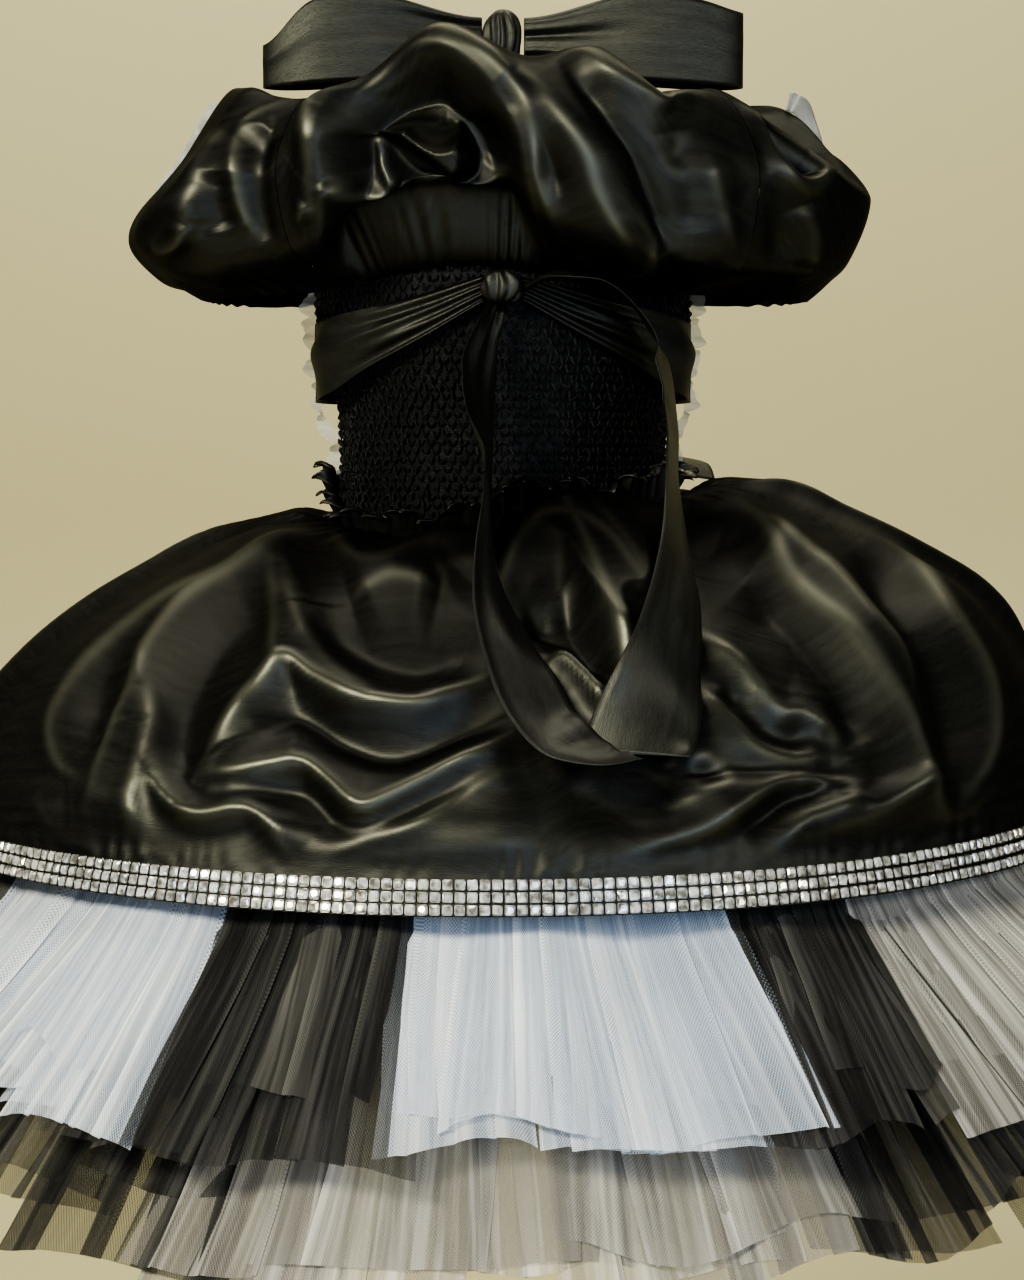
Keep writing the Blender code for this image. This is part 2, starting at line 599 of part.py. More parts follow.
TULLE_FINISH = {"white": WHITE_TULLE, "black": BLACK_TULLE, "grey": GREY_TULLE}


def make_tulle():
    """Two layers of knotted tulle, in blocks of one colour."""
    upper = ("upper", TULLE_BLOCKS, UPPER_TULLE, DEGREES_PER_PLEAT)
    lower = ("lower", LOWER_BLOCKS, LOWER_TULLE, LOWER_DEGREES_A_PLEAT)
    layers = (
        (*upper, TULLE_ROWS_UPPER, UPPER_ROOT_DROP, UPPER_UNEVEN),
        (*lower, TULLE_ROWS_LOWER, LOWER_ROOT_DROP, LOWER_UNEVEN),
    )
    for layer_name, blocks, layer, degrees, rows, root_drop, uneven in layers:
        for index, block in enumerate(blocks, 1):
            colour, start, end = block
            name = f"tulle_{layer_name}_{index:02d}_{colour}"
            tulle_block(name, block, layer, round((end - start) / degrees), rows, root_drop, uneven)


def flounce_section(turn):
    """Lengths along one section of the flounce, and its distance out and height at each."""
    at = wrapped(turn)
    value = {name: smooth(at, FLOUNCE["turn"], FLOUNCE[name]) for name in FLOUNCE if name != "turn"}
    side_out = value["neck_out"] + 0.22 * (value["crest_out"] - value["neck_out"])
    side_up = value["neck_up"] + 0.62 * (value["crest_up"] - value["neck_up"])
    sections = []
    for way, side in (("out", side_out), ("up", side_up)):
        crest, far = value["crest_" + way], value["far_" + way]
        swell = 0.5 + (0.207 if way == "out" else -0.207) * value["round"]
        shoulder = crest + (far - crest) * swell
        lower = [value["low_" + way], value["hem_" + way]]
        sections.append(np.stack([value["neck_" + way], side, crest, shoulder, far, *lower], -1))
    return sections


def flounce_base(turns, shares):
    """The flounce's plain form on a grid of shares along the section and turns round the body."""
    out, up = flounce_section(turns)
    steps = np.hypot(np.diff(out, axis=-1), np.diff(up, axis=-1))
    lengths = np.concatenate([np.zeros((len(turns), 1)), np.cumsum(steps, axis=-1)], -1)
    outs = np.array([smooth(shares * length[-1], length, row) for length, row in zip(lengths, out)]).T
    ups = np.array([smooth(shares * length[-1], length, row) for length, row in zip(lengths, up)]).T
    along = np.outer(shares, lengths[:, -1])
    point, away = oval(FLOUNCE_HALF_WIDTH, FLOUNCE_HALF_DEPTH, np.broadcast_to(turns, outs.shape))
    return lifted(point + away * outs[..., None], ups), along


def flounce_grid(turns, shares):
    """The folded flounce's outer face and its outward direction on a grid."""
    step = turns[1] - turns[0]
    wide = np.concatenate([[turns[0] - step], turns, [turns[-1] + step]])
    base, along = flounce_base(wide, shares)
    normal = grid_normals(base, False)
    normal = normal * flounce_outward(base, normal)
    turn = np.broadcast_to(wide, along.shape)
    facing = ramp(-base[..., 1], 20, 70) * ramp(shares, 0.36, 0.46)[:, None]
    places = seen(base)
    rise = sum(fold_height(places, fold, VIEW_MM_PER_PIXEL) for fold in FLOUNCE_FOLDS)
    reach = np.linalg.norm((places - CURL_MIDDLE) / CURL_HALF_SIZE, axis=-1)
    hollow = 1 - ramp(reach, 0.55, 1.05)
    flap = fold_height(places, CURL_FLAP, VIEW_MM_PER_PIXEL)
    rise = (rise * (1 - hollow) + hollow * (flap - CURL_DEPTH)) * facing
    around = np.where(turn < 60, turn + 360, turn)
    for fold in FLOUNCE_SIDE_FOLDS:
        line = [(place * FLOUNCE_MM_PER_DEGREE, length) for place, length in fold.line]
        scaled = Fold(fold.half_width, fold.rise, line)
        rise = rise + fold_height(np.stack([around * FLOUNCE_MM_PER_DEGREE, along], -1), scaled, 1.0)
    fades = (ramp(shares, 0.02, 0.2) * (1 - ramp(shares, 0.86, 0.99)))[:, None]
    for _, seam, _, _ in FLOUNCE_PANELS:
        fades = fades * ramp(np.abs(wrapped(turn - seam)), 0.6, 7.0)
    face = base + normal * (rise * fades)[..., None]
    away = grid_normals(face, False)
    return face[:, 1:-1], (away * flounce_outward(face, away))[:, 1:-1]


def flounce_outward(base, normal):
    """Sign that makes the flounce's direction point out of its bubble, judged at its outermost line."""
    row = int(base.shape[0] * 0.55)
    return 1.0 if (normal[row, :, :2] * base[row, :, :2]).sum() > 0 else -1.0


def make_flounce():
    """Off-shoulder satin flounce in four panels, open at the neck, armholes and cuffs."""
    for name, start, end, columns_across in FLOUNCE_PANELS:
        turns = np.linspace(start + PANEL_GAP / 2, end - PANEL_GAP / 2, columns_across + 1)
        face, away = flounce_grid(turns, np.linspace(0, 1, FLOUNCE_ROWS + 1) ** 0.9)
        add_wall(name, face, face - away * SATIN_WALL, False, BLACK_SATIN)


def make_sash():
    """Satin ribbon round the ribs: the front band and an arm gathered into the knot from each side."""
    front_turns = np.linspace(*SASH_FRONT_TURNS, 17)
    top, bottom, out = (SASH_ARM[name][-1] for name in ("top", "bottom", "out"))
    height, turn = np.meshgrid([top, (top + bottom) / 2, bottom], front_turns, indexing="ij")
    seat = bodice_point(turn, np.full(turn.shape, top), np.full(turn.shape, out))
    face = np.concatenate([seat[..., :2], height[..., None]], -1)
    inner = face - grid_normals(face, False) * RIBBON_WALL * outward_sign(face, False)
    add_wall("sash_front", face, inner, False, BLACK_SATIN)
    for name, side in (("sash_left", -1), ("sash_right", 1)):
        turns = np.linspace(SASH_ARM["turn"][0], SASH_ARM["turn"][-1], 11)
        rows = []
        for share in np.linspace(0, 1, 4):
            top = smooth(turns, SASH_ARM["turn"], SASH_ARM["top"])
            bottom = smooth(turns, SASH_ARM["turn"], SASH_ARM["bottom"])
            ripple = 1.6 * math.sin(share * 9) * (1 - ramp(turns, 45, 78))
            out = smooth(turns, SASH_ARM["turn"], SASH_ARM["out"]) + ripple
            seat = bodice_point(turns * side, top, out)
            rows.append(np.concatenate([seat[:, :2], (top + (bottom - top) * share)[:, None]], -1))
        face = np.array(rows)
        inner = face - grid_normals(face, False) * RIBBON_WALL * outward_sign(face, False)
        add_wall(name, face, inner, False, BLACK_SATIN)
    middle = bodice_point(np.array(0.0), np.array(KNOT_HEIGHT), np.array(KNOT_OUT))
    add_bead("sash_knot", middle, KNOT_HALF_SIZE, BLACK_SATIN)


def add_bead(name, middle, half_size, finish):
    """A small rounded knot."""
    shape = bmesh.new()
    bmesh.ops.create_uvsphere(shape, u_segments=10, v_segments=6, radius=1.0)
    bmesh.ops.triangulate(shape, faces=shape.faces)
    points = [np.array(middle) + np.array(vertex.co) * half_size for vertex in shape.verts]
    faces = [tuple(vertex.index for vertex in face.verts) for face in shape.faces]
    shape.free()
    add_piece(name, points, faces, finish)


def laid_on(points, carrier, clearance, way=(0.0, 0.0, 1.0)):
    """The points moved that way where needed so that they clear the piece below them."""
    lift = np.zeros(points.shape[:2])
    away = Vector(way)
    for index in np.ndindex(points.shape[:2]):
        place = Vector(points[index]) * MM
        met = carrier.ray_cast(place + away * HIGH_ABOVE * MM, -away, HIGH_ABOVE * 1.1 * MM)[0]
        if met is not None:
            lift[index] = max((met - place).dot(away) / MM + clearance, 0.0)
    return points + evened(lift)[..., None] * np.array(way)


def evened(lift):
    """The lifts with each one shared with its neighbours, so that a raised stretch starts gently."""
    padded = np.pad(lift, 1, mode="edge")
    near = [padded[1:-1, 1:-1], padded[:-2, 1:-1], padded[2:, 1:-1], padded[1:-1, :-2], padded[1:-1, 2:]]
    return np.maximum.reduce([near[0]] + [side * 0.8 for side in near[1:]])


def surface_of(piece):
    """The faces of a piece, ready to be met by a line."""
    shape = bmesh.new()
    shape.from_mesh(piece.data)
    surface = BVHTree.FromBMesh(shape)
    shape.free()
    return surface


def add_tail(name, table, segments, carriers, finish):
    """One hanging ribbon end, turned on edge where the table says and laid on what is below it."""
    rows = np.arange(len(table["across"]), dtype=float)
    at = np.linspace(0, rows[-1], segments + 1)
    path = np.stack([smooth(at, rows, table[name]) for name in ("across", "along", "up")], -1)
    along = np.gradient(path, axis=0)
    along /= np.linalg.norm(along, axis=-1, keepdims=True)
    out = np.array([0.0, -0.6, 0.8]) - (along @ np.array([0.0, -0.6, 0.8]))[:, None] * along
    out /= np.linalg.norm(out, axis=-1, keepdims=True)
    roll = np.radians(smooth(at, rows, table["roll"]))[:, None]
    width_way = np.cross(along, out) * np.cos(roll) + out * np.sin(roll)
    half = smooth(at, rows, table["broad"])[:, None] * RIBBON_WIDTH / 2
    face = np.stack([path + width_way * half * share for share in (-1.0, 0.0, 1.0)])
    resting = np.arange(segments + 1) > segments * 0.3
    for carrier, clearance in carriers:
        face[:, resting] = laid_on(face[:, resting], carrier, clearance, OFF_THE_SKIRT)
    normal = grid_normals(face, False)
    normal *= 1.0 if (normal @ np.array([0.0, -0.6, 0.8])).sum() > 0 else -1.0
    return add_wall(name, face + normal * RIBBON_WALL, face, False, finish)


def make_tails(overskirt):
    """The sash's two hanging ends, the left one laid over the right one."""
    on_skirt = (surface_of(overskirt), TAIL_CLEARANCE)
    right = add_tail("tail_right", RIGHT_TAIL, TAIL_SEGMENTS + 2, [on_skirt], BLACK_SATIN)
    on_right = (surface_of(right), CROSSING_CLEARANCE)
    add_tail("tail_left", LEFT_TAIL, TAIL_SEGMENTS, [on_skirt, on_right], BLACK_SATIN)


def sash_reach(heights):
    """How far out from the bodice the front band of the sash reaches at each height."""
    edge = smooth(SASH_ARM["top"][-1], BODICE["height"], BODICE["half_width"]) + SASH_ARM["out"][-1]
    return edge + SEAM_GAP - smooth(heights, BODICE["height"], BODICE["half_width"])


def make_side_ruffles():
    """White gathered organza standing out from each side of the front."""
    for name, side in (("ruffle_left", -1), ("ruffle_right", 1)):
        steps = RUFFLE_WAVES * 4
        heights = np.linspace(RUFFLE_TOP, RUFFLE_FOOT, steps + 1)
        swing = RUFFLE_SWING * np.sin(np.arange(steps + 1) * math.pi / 2)
        stands = RUFFLE_STANDS * (0.86 + 0.14 * np.sin(np.arange(steps + 1) * 0.9))
        face = []
        for share in (0.0, 1.0):
            turn = side * (RUFFLE_TURN + np.degrees(swing / 100) * (0.15 + 0.85 * share))
            over_sash = ramp(heights, 34, 54) * (1 - ramp(heights, 106, 118))
            root = SEAM_GAP + 0.4 + over_sash * sash_reach(heights)
            face.append(bodice_point(turn, heights, root + (stands - 0.5 * root) * share))
        face = np.array(face)
        add_wall(name, face, face - grid_normals(face, False) * RIBBON_WALL, False, WHITE_ORGANZA)


def make_shoulder_trims():
    """White ribbon trims that stand on the front slope of each puff."""
    names = ("shoulder_trim_left", "shoulder_trim_right")
    rows = zip(names, *(SHOULDER_TRIM[key] for key in ("turn", "from_length", "to_length", "stands")))
    for name, turn, start, end, stands in rows:
        turns = np.array([turn - 1.5, turn, turn + 1.5])
        length = flounce_base(turns, np.array([0.0, 1.0]))[1][-1, 1]
        shares = np.linspace(start, end, 7) / length
        patch, away = flounce_grid(turns, shares)
        seat, away = patch[:, 1], away[:, 1]
        face = np.stack([seat + away * (SEAM_GAP + 0.1), seat + away * stands])
        add_wall(name, face, face - grid_normals(face, False) * RIBBON_WALL, False, WHITE_RIBBON)


def make_bow():
    """Wide ribbon bow on the front neckline: a loop to each side, and its knot."""
    for name, side, taper in (("bow_loop_left", -1, 0.5), ("bow_loop_right", 1, 0.12)):
        share = np.linspace(0, 1, BOW_SEGMENTS + 1)
        angle = share * 2 * math.pi
        reach = KNOT_HALF_WIDTH + 0.1 + (BOW_REACH - KNOT_HALF_WIDTH) * (0.5 - 0.5 * np.cos(angle)) ** 0.8
        swell = BOW_BELLY * np.sin(angle) * (0.35 + 0.65 * reach / BOW_REACH)
        belly = BOW_MIDDLE_DEPTH + swell + (0.5 - share) * BOW_ENDS_APART
        full = BOW_PINCHED_TALL + (BOW_TALL - BOW_PINCHED_TALL) * ramp(reach, 15, 85)
        tall = full * (1 - taper * ramp(reach, 108, 150) ** 1.5)
        middle = BOW_MIDDLE_UP - 4 * ramp(reach, 60, 150) - (full - tall) / 2
        face = np.array([
            np.stack([side * reach, belly, middle + tall / 2], -1),
            np.stack([side * reach, belly, middle], -1),
            np.stack([side * reach, belly, middle - tall / 2], -1),
        ])
        add_wall(name, face, face - grid_normals(face, False) * RIBBON_WALL, False, BLACK_SATIN)
    add_bead("bow_knot", (0, BOW_MIDDLE_DEPTH, BOW_MIDDLE_UP), BOW_KNOT_HALF_SIZE, BLACK_SATIN)


def make_waist_ribbon(overskirt):
    """Short black ribbon end at the right side of the waist, laid over the skirt's shoulder."""
    turns = np.array([112.0, 118.0, 124.0])
    outs = np.array([[0.9, 0.9, 0.9], [22.0, 24.0, 20.0], [46.0, 50.0, 36.0]])
    heights = np.array([[18.0, 25.0, 31.0], [16.0, 24.0, 30.0], [13.0, 23.0, 28.0]])
    face = np.array([bodice_point(turns, height, out) for height, out in zip(heights, outs)])
    face[1:] = laid_on(face[1:], surface_of(overskirt), TAIL_CLEARANCE)
    normal = grid_normals(face, False)
    normal *= np.sign(normal[..., 2].sum())
    add_wall("waist_ribbon_end", face + normal * RIBBON_WALL, face, False, BLACK_SATIN)


make_bodice()
overskirt = make_overskirt()
make_header()
make_trim()
make_tulle()
make_flounce()
make_sash()
make_tails(overskirt)
make_side_ruffles()
make_shoulder_trims()
make_bow()
make_waist_ribbon(overskirt)
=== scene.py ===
"""Cloth, trims and stage of a child's satin, crochet and tulle tutu dress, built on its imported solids.

The side with the ribbon tie is the back of the dress and faces -Y. Lengths in the tables are
millimetres, and turns are degrees round the body from the back centre, positive towards +X.
"""

import math
from collections import namedtuple

import bmesh
import bpy
import numpy as np
from bpy.props import FloatProperty, FloatVectorProperty, IntProperty, PointerProperty
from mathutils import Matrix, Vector
from mathutils.bvhtree import BVHTree


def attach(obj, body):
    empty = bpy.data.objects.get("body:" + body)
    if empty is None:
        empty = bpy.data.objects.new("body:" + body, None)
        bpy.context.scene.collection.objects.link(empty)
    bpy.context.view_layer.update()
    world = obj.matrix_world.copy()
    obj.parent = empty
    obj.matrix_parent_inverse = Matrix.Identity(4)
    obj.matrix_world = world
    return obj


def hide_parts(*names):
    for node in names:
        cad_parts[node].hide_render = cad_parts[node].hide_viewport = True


bl_info = {
    "name": "Tutu dress",
    "version": (1, 0, 0),
    "blender": (4, 5, 0),
    "location": "View3D > Sidebar > Tutu dress",
    "description": "Builds the cloth, trims and stage of a child's tutu dress on its packed solids",
    "category": "Object",
}

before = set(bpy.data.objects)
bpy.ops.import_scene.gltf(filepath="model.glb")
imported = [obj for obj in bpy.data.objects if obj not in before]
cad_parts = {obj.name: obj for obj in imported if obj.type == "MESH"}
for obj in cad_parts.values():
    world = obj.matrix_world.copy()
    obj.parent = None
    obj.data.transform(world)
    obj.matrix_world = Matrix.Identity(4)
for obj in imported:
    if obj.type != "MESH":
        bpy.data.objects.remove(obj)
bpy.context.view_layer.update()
MM = 0.001
BODY = "root"

# Sizes of the dress
BODICE_TOP = 165.0
BODICE_FOOT = -56.0
CHEST_HALF_WIDTH = 108.0
CHEST_HALF_DEPTH = 83.0
SEAM_GAP = 0.45
RIBBON_WIDTH = 50.0
RIBBON_WALL = 1.1
TRIM_WIDTH = 17.0
KNOT_HEIGHT = 118.0
KNOT_OUT = 10.0
KNOT_HALF_SIZE = (12.5, 8.0, 10.0)
KNOT_POLE = 0.0006

# Thickness of the cloth where both of its faces show
SATIN_THICK = 0.5
RIBBON_THICK = 0.5
TAIL_THICK = 0.45
TRIM_THICK = 0.4

# Widths and lengths of the cloth as it was cut
SKIRT_CUT = (2070.0, 335.0)
HEADER_CUT = (860, 27)
BODICE_CUT = (600, 221)
TULLE_CUT_LENGTH = 400.0
TULLE_SPARE = 1.05
FLOUNCE_CUT_LENGTHS = {"flounce_back": 235, "puff_right": 215, "flounce_front": 250, "puff_left": 225}
SASH_FRONT_LENGTH = 340
SASH_ARM_LENGTH = 132
KNOT_CUT_LENGTH = 25.0
BOW_CUT_LENGTH = 300
WAIST_RIBBON_CUT_LENGTH = 48.0

# The overskirt's grid, finer where it is seen, in degrees and rows
SKIRT_BACK_TURN = 84
SKIRT_BACK_STEP = 0.42
SKIRT_FRONT_STEP = 0.95
SKIRT_ROWS = 150

# The frill above the overskirt's channel
HEADER_TALL = 32.0
HEADER_FLARE = 9.0
HEADER_GATHERS = 54
HEADER_GATHER_POINTS = 12
HEADER_ROWS = 17
HEADER_LIP = 0.5
HEADER_CURL = 2.9

# The crochet: its ground's grid, how far its ground and loops lie inside the bodice's face, and
# along one strand of a loop the places across, up and out, and how thick the yarn is
GROUND_COLUMNS = 128
GROUND_ROWS = 24
GROUND_SUNK = 1.4
LOOPS_SUNK = 1.0
LOOP_STATIONS = (
    (0.1, -2.7, 0.2, 0.35), (0.9, -1.3, 0.95, 1.0), (1.9, 0.6, 1.15, 1.15), (2.7, 2.3, 0.3, 0.45),
)

# The stone trim's tape and stones, above the overskirt's face
TAPE_RISE = 0.35
STONE_RISE = 0.4

# Where the camera stands, so that folds can be placed as they are seen
VIEW_DISTANCE = 1400.0
VIEW_HEIGHT = 19.0
VIEW_FOCAL = 2393.0
VIEW_MIDDLE_X = 503.0
VIEW_MIDDLE_Y = 640.0
VIEW_TILT = math.atan(170.0 / VIEW_FOCAL)
VIEW_MM_PER_PIXEL = 0.5
PHOTO_TALL = 1280
PHOTO_WIDE = 1024


def columns(names, *rows):
    """One array for each named column of a short table."""
    return {name: np.array(values, float) for name, values in zip(names.split(), zip(*rows))}


BODICE = columns(
    "height half_width half_depth",
    (BODICE_FOOT, 94.0, 77.0), (20.0, 94.0, 77.0), (50.0, 95.0, 78.0), (80.0, 101.0, 80.5),
    (110.0, CHEST_HALF_WIDTH, CHEST_HALF_DEPTH), (BODICE_TOP, CHEST_HALF_WIDTH, CHEST_HALF_DEPTH),
)

# Height of the overskirt's elastic channel round the waist
WAIST = columns(
    "turn height",
    (-180, -12), (-90, -8), (-68, -22), (-48, -33), (-30, -30), (-10, -21), (10, -16), (28, -10), (60, -8),
    (90, -4), (135, -8), (180, -12),
)

# Overskirt from the first ring outside the channel to the hem; heights at the left, back and right
SKIRT = columns(
    "half_width half_depth left back right",
    (101.0, 84.0, -6.0, -20.0, 1.0), (112.0, 95.0, -3.0, -17.0, 9.0), (131.0, 115.0, -7.0, -16.0, 13.0),
    (161.0, 146.0, -16.0, -19.0, 10.0), (200.0, 188.0, -38.0, -31.0, -8.0),
    (238.0, 228.0, -62.0, -50.0, -30.0), (271.0, 264.0, -87.0, -77.0, -50.0),
    (298.0, 294.0, -117.0, -110.0, -84.0), (318.0, 316.0, -148.0, -145.0, -133.0),
    (329.0, 329.0, -183.0, -183.0, -179.0),
)

# Tulle layers from the waist knots to the hem
UPPER_TULLE = columns(
    "radius height wave",
    (128.0, -43.0, 1.5), (180.0, -62.0, 3.5), (240.0, -96.0, 5.0), (288.0, -148.0, 5.0),
    (312.0, -187.0, 5.0), (358.0, -226.0, 7.5), (405.0, -264.0, 9.0),
)
LOWER_TULLE = columns(
    "radius height wave",
    (124.0, -70.0, 1.5), (175.0, -94.0, 3.5), (235.0, -130.0, 5.0), (285.0, -174.0, 6.0),
    (320.0, -216.0, 7.0), (383.0, -281.0, 8.0), (424.0, -317.0, 9.0),
)
TULLE_BLOCKS = [
    ("white", -9, 18), ("black", 18, 34), ("grey", 34, 60), ("white", 60, 84), ("black", 84, 108),
    ("white", 108, 134), ("black", 134, 158), ("white", 158, 184), ("black", 184, 208),
    ("white", 208, 232), ("black", 232, 256), ("white", 256, 280), ("black", 280, 304),
    ("white", 304, 333), ("black", 333, 351),
]
LOWER_BLOCKS = [
    ("grey", -20, 22), ("black", 22, 52), ("white", 52, 88), ("black", 88, 122), ("grey", 122, 160),
    ("black", 160, 196), ("white", 196, 232), ("black", 232, 268), ("grey", 268, 304), ("black", 304, 340),
]
PLEAT_SHADING = 0.5
UPPER_ROOT_DROP = 9.0
LOWER_ROOT_DROP = 22.0

# Off-shoulder flounce, one row for each section round the body: how far out from the bodice,
# and how high, are the neck edge, crest, outermost line, lowest line and lower edge, and how
# round the cloth is from the crest to the outermost line
FLOUNCE = columns(
    "turn neck_out neck_up crest_out crest_up far_out far_up low_out low_up hem_out hem_up round",
    (-180, 0.7, 158, 34, 268, 60, 200, 46, 142, 0.7, 124, 0.9),
    (-150, 0.7, 158, 32, 250, 60, 192, 48, 140, 0.7, 122, 0.9),
    (-132, 8, 168, 38, 238, 70, 182, 60, 138, 14, 120, 0.7),
    (-112, 36, 196, 46, 236, 94, 166, 82, 134, 54, 117, 0.3),
    (-90, 44, 205, 48, 237, 107, 152, 92, 132, 66, 117, 0.0),
    (-68, 36, 198, 46, 232, 94, 162, 78, 130, 50, 115, 0.2),
    (-48, 6, 166, 40, 220, 64, 180, 52, 138, 10, 122, 0.5),
    (-36, 0.7, 158, 36, 228, 66, 192, 56, 146, 0.7, 126, 0.9),
    (-12, 0.7, 158, 36, 251, 66, 204, 52, 158, 0.7, 130, 0.9),
    (5, 0.7, 158, 34, 238, 62, 200, 52, 158, 0.7, 128, 0.9),
    (20, 0.7, 158, 38, 243, 72, 188, 60, 142, 0.7, 124, 0.8),
    (35, 0.7, 158, 40, 222, 76, 174, 62, 130, 0.7, 120, 0.8),
    (50, 12, 170, 44, 225, 80, 174, 66, 126, 16, 116, 0.7),
    (66, 36, 180, 54, 210, 92, 176, 78, 127, 48, 115, 0.6),
    (82, 50, 172, 70, 189, 103, 172, 90, 134, 66, 116, 0.8),
    (98, 50, 176, 88, 206, 108, 182, 95, 140, 68, 117, 0.6),
    (116, 36, 190, 80, 240, 100, 196, 84, 142, 50, 118, 0.5),
    (134, 8, 168, 44, 242, 72, 190, 60, 138, 14, 120, 0.7),
    (150, 0.7, 158, 32, 250, 60, 192, 48, 140, 0.7, 122, 0.9),
    (180, 0.7, 158, 34, 268, 60, 200, 46, 142, 0.7, 124, 0.9),
)
FLOUNCE_PANELS = [
    ("flounce_back", -48, 50), ("puff_right", 50, 133), ("flounce_front", 133, 227), ("puff_left", 227, 312),
]
PANEL_GAP = 0.16

# A crease follows a line. Its rise is in millimetres, negative for a trough, and steep is how much
# narrower it is on the right of its line than on the left, from -0.9 to 0.9
Crease = namedtuple("Crease", "width rise steep line")
# A patch is a closed outline. The cloth inside it rises or sinks, over a soft width inwards from its
# edge, which gets a painted highlight as a crest does, as strong as edge says
Patch = namedtuple("Patch", "rise soft edge line")


def shaped(kind, *rows):
    """Creases or patches, from rows of their three values and then the points of their line."""
    return [kind(*row[:3], row[3:]) for row in rows]


CURVE_STEPS = 5
CREST_ROUND = 1.6
# How wide the painted highlight along a crest is, and the rise at which it is at full strength
SHINE_WIDTH = 2.6
SHINY_RISE = 9.0
SKIRT_MM_PER_DEGREE = 4.4
FLOUNCE_MM_PER_DEGREE = 2.6

# Creases of the overskirt's back, placed as they are seen, in the reference view's pixels
SKIRT_CREASES = shaped(
    Crease,
    (13, 8, 0.2, (317, 521), (237, 569), (158, 608), (94, 659), (62, 713), (59, 751), (71, 773), (97, 786)),
    (12, -8, 0, (290, 560), (210, 590), (125, 650), (98, 720), (105, 760)),
    (11, 8, 0.2, (307, 534), (253, 563), (190, 598), (151, 643), (138, 684), (112, 752), (92, 815)),
    (10, 7, -0.5, (150, 690), (154, 720), (146, 765), (136, 805), (138, 845)),
    (17, -11, 0, (300, 585), (225, 630), (185, 700), (180, 765), (205, 795)),
    (9, 8, 0.3, (154, 745), (158, 775), (172, 800), (200, 816), (247, 809), (272, 825), (290, 855),
     (308, 866)),
    (10, 6, 0.3, (300, 866), (333, 853), (365, 840), (413, 825), (477, 786), (521, 767)),
    (10, 11, 0.35, (199, 771), (228, 729), (266, 687), (292, 668), (317, 684), (355, 703), (413, 708),
     (445, 697), (500, 676)),
    (11, -9, 0, (262, 735), (298, 712), (345, 740), (400, 752), (470, 728), (520, 705)),
    (9, 10, 0.3, (199, 773), (234, 774), (272, 768), (304, 764), (330, 783), (349, 802), (368, 809),
     (397, 796), (445, 770), (493, 748), (525, 728)),
    (13, -8, 0, (230, 795), (300, 790), (350, 830), (420, 805), (500, 770)),
    (11, 5, 0, (285, 576), (301, 624), (336, 671), (375, 697)),
    (9, 4, 0, (272, 569), (272, 608), (276, 650), (290, 690)),
    (18, -8, 0, (310, 620), (370, 655), (430, 665), (480, 630)),
    (7, 5, 0.2, (333, 537), (345, 553), (362, 567), (390, 569), (425, 556), (478, 551)),
    (6, 3, 0, (435, 579), (455, 572), (485, 566)),
    (15, 7, 0, (350, 600), (395, 585), (440, 595)),
    (26, 10, 0.2, (560, 505), (582, 560), (606, 620), (640, 690)),
    (9, 4, -0.2, (564, 515), (580, 560), (599, 614), (628, 660)),
    (9, 5, 0.2, (596, 531), (624, 569), (650, 612)),
    (9, -8, 0.2, (526, 611), (570, 633), (600, 675)),
    (6, -5, 0, (560, 598), (590, 645), (618, 690)),
    (7, 7, 0.4, (548, 664), (564, 666), (583, 684), (605, 713), (630, 745)),
    (9, 8, 0.3, (690, 640), (707, 649), (736, 668), (761, 697), (781, 713), (806, 714), (832, 727),
     (843, 745)),
    (9, 7, -0.3, (690, 690), (704, 703), (730, 722), (755, 745), (781, 754), (806, 756), (835, 753)),
    (10, -5, 0, (720, 690), (770, 730), (820, 740)),
    (11, -10, 0.3, (690, 770), (760, 768), (820, 768), (862, 776)),
    (9, 8, 0.4, (612, 858), (660, 844), (704, 831), (736, 812), (771, 786), (800, 778), (845, 778),
     (854, 790)),
    (8, 6, 0.3, (853, 791), (845, 802), (806, 818), (790, 837), (796, 855)),
    (9, -6, 0, (740, 835), (790, 800), (835, 792)),
    (10, 6, 0.2, (680, 752), (711, 761), (727, 774), (720, 786), (691, 799), (668, 803)),
    (13, 10, 0.3, (700, 512), (742, 521), (787, 582), (845, 633), (880, 678), (902, 716), (915, 761),
     (908, 786), (876, 812), (835, 828), (794, 841)),
    (11, 8, 0.3, (745, 528), (794, 560), (835, 588), (867, 624), (899, 662), (909, 690)),
    (15, -11, 0, (745, 580), (800, 630), (846, 690), (868, 745)),
    (12, 9, 0.3, (830, 520), (889, 550), (924, 585), (953, 630), (979, 678), (985, 722), (979, 761),
     (956, 809)),
    (12, -9, 0, (850, 556), (915, 640), (942, 700), (944, 780)),
    (8, 6, 0, (913, 764), (927, 799), (947, 818), (959, 818), (985, 793)),
    (16, -5, 0, (560, 780), (640, 815), (720, 800)),
    (22, 5, 0, (330, 860), (430, 850), (540, 845)),
    (24, 12, 0.3, (492, 600), (520, 560), (562, 538), (606, 560), (640, 606)),
    (6, -6, 0, (520, 606), (550, 631), (578, 659), (611, 701)),
    (6, -6, 0, (560, 596), (576, 623), (596, 653), (614, 679)),
    (5, 6, 0.3, (545, 663), (563, 665), (578, 678), (606, 715)),
    (6, 6, 0.2, (586, 560), (596, 593), (611, 626), (631, 655)),
    (6, 6, 0.2, (606, 556), (628, 587), (646, 614)),
    (12, 4, 0, (40, 800), (60, 830), (95, 848)),
)

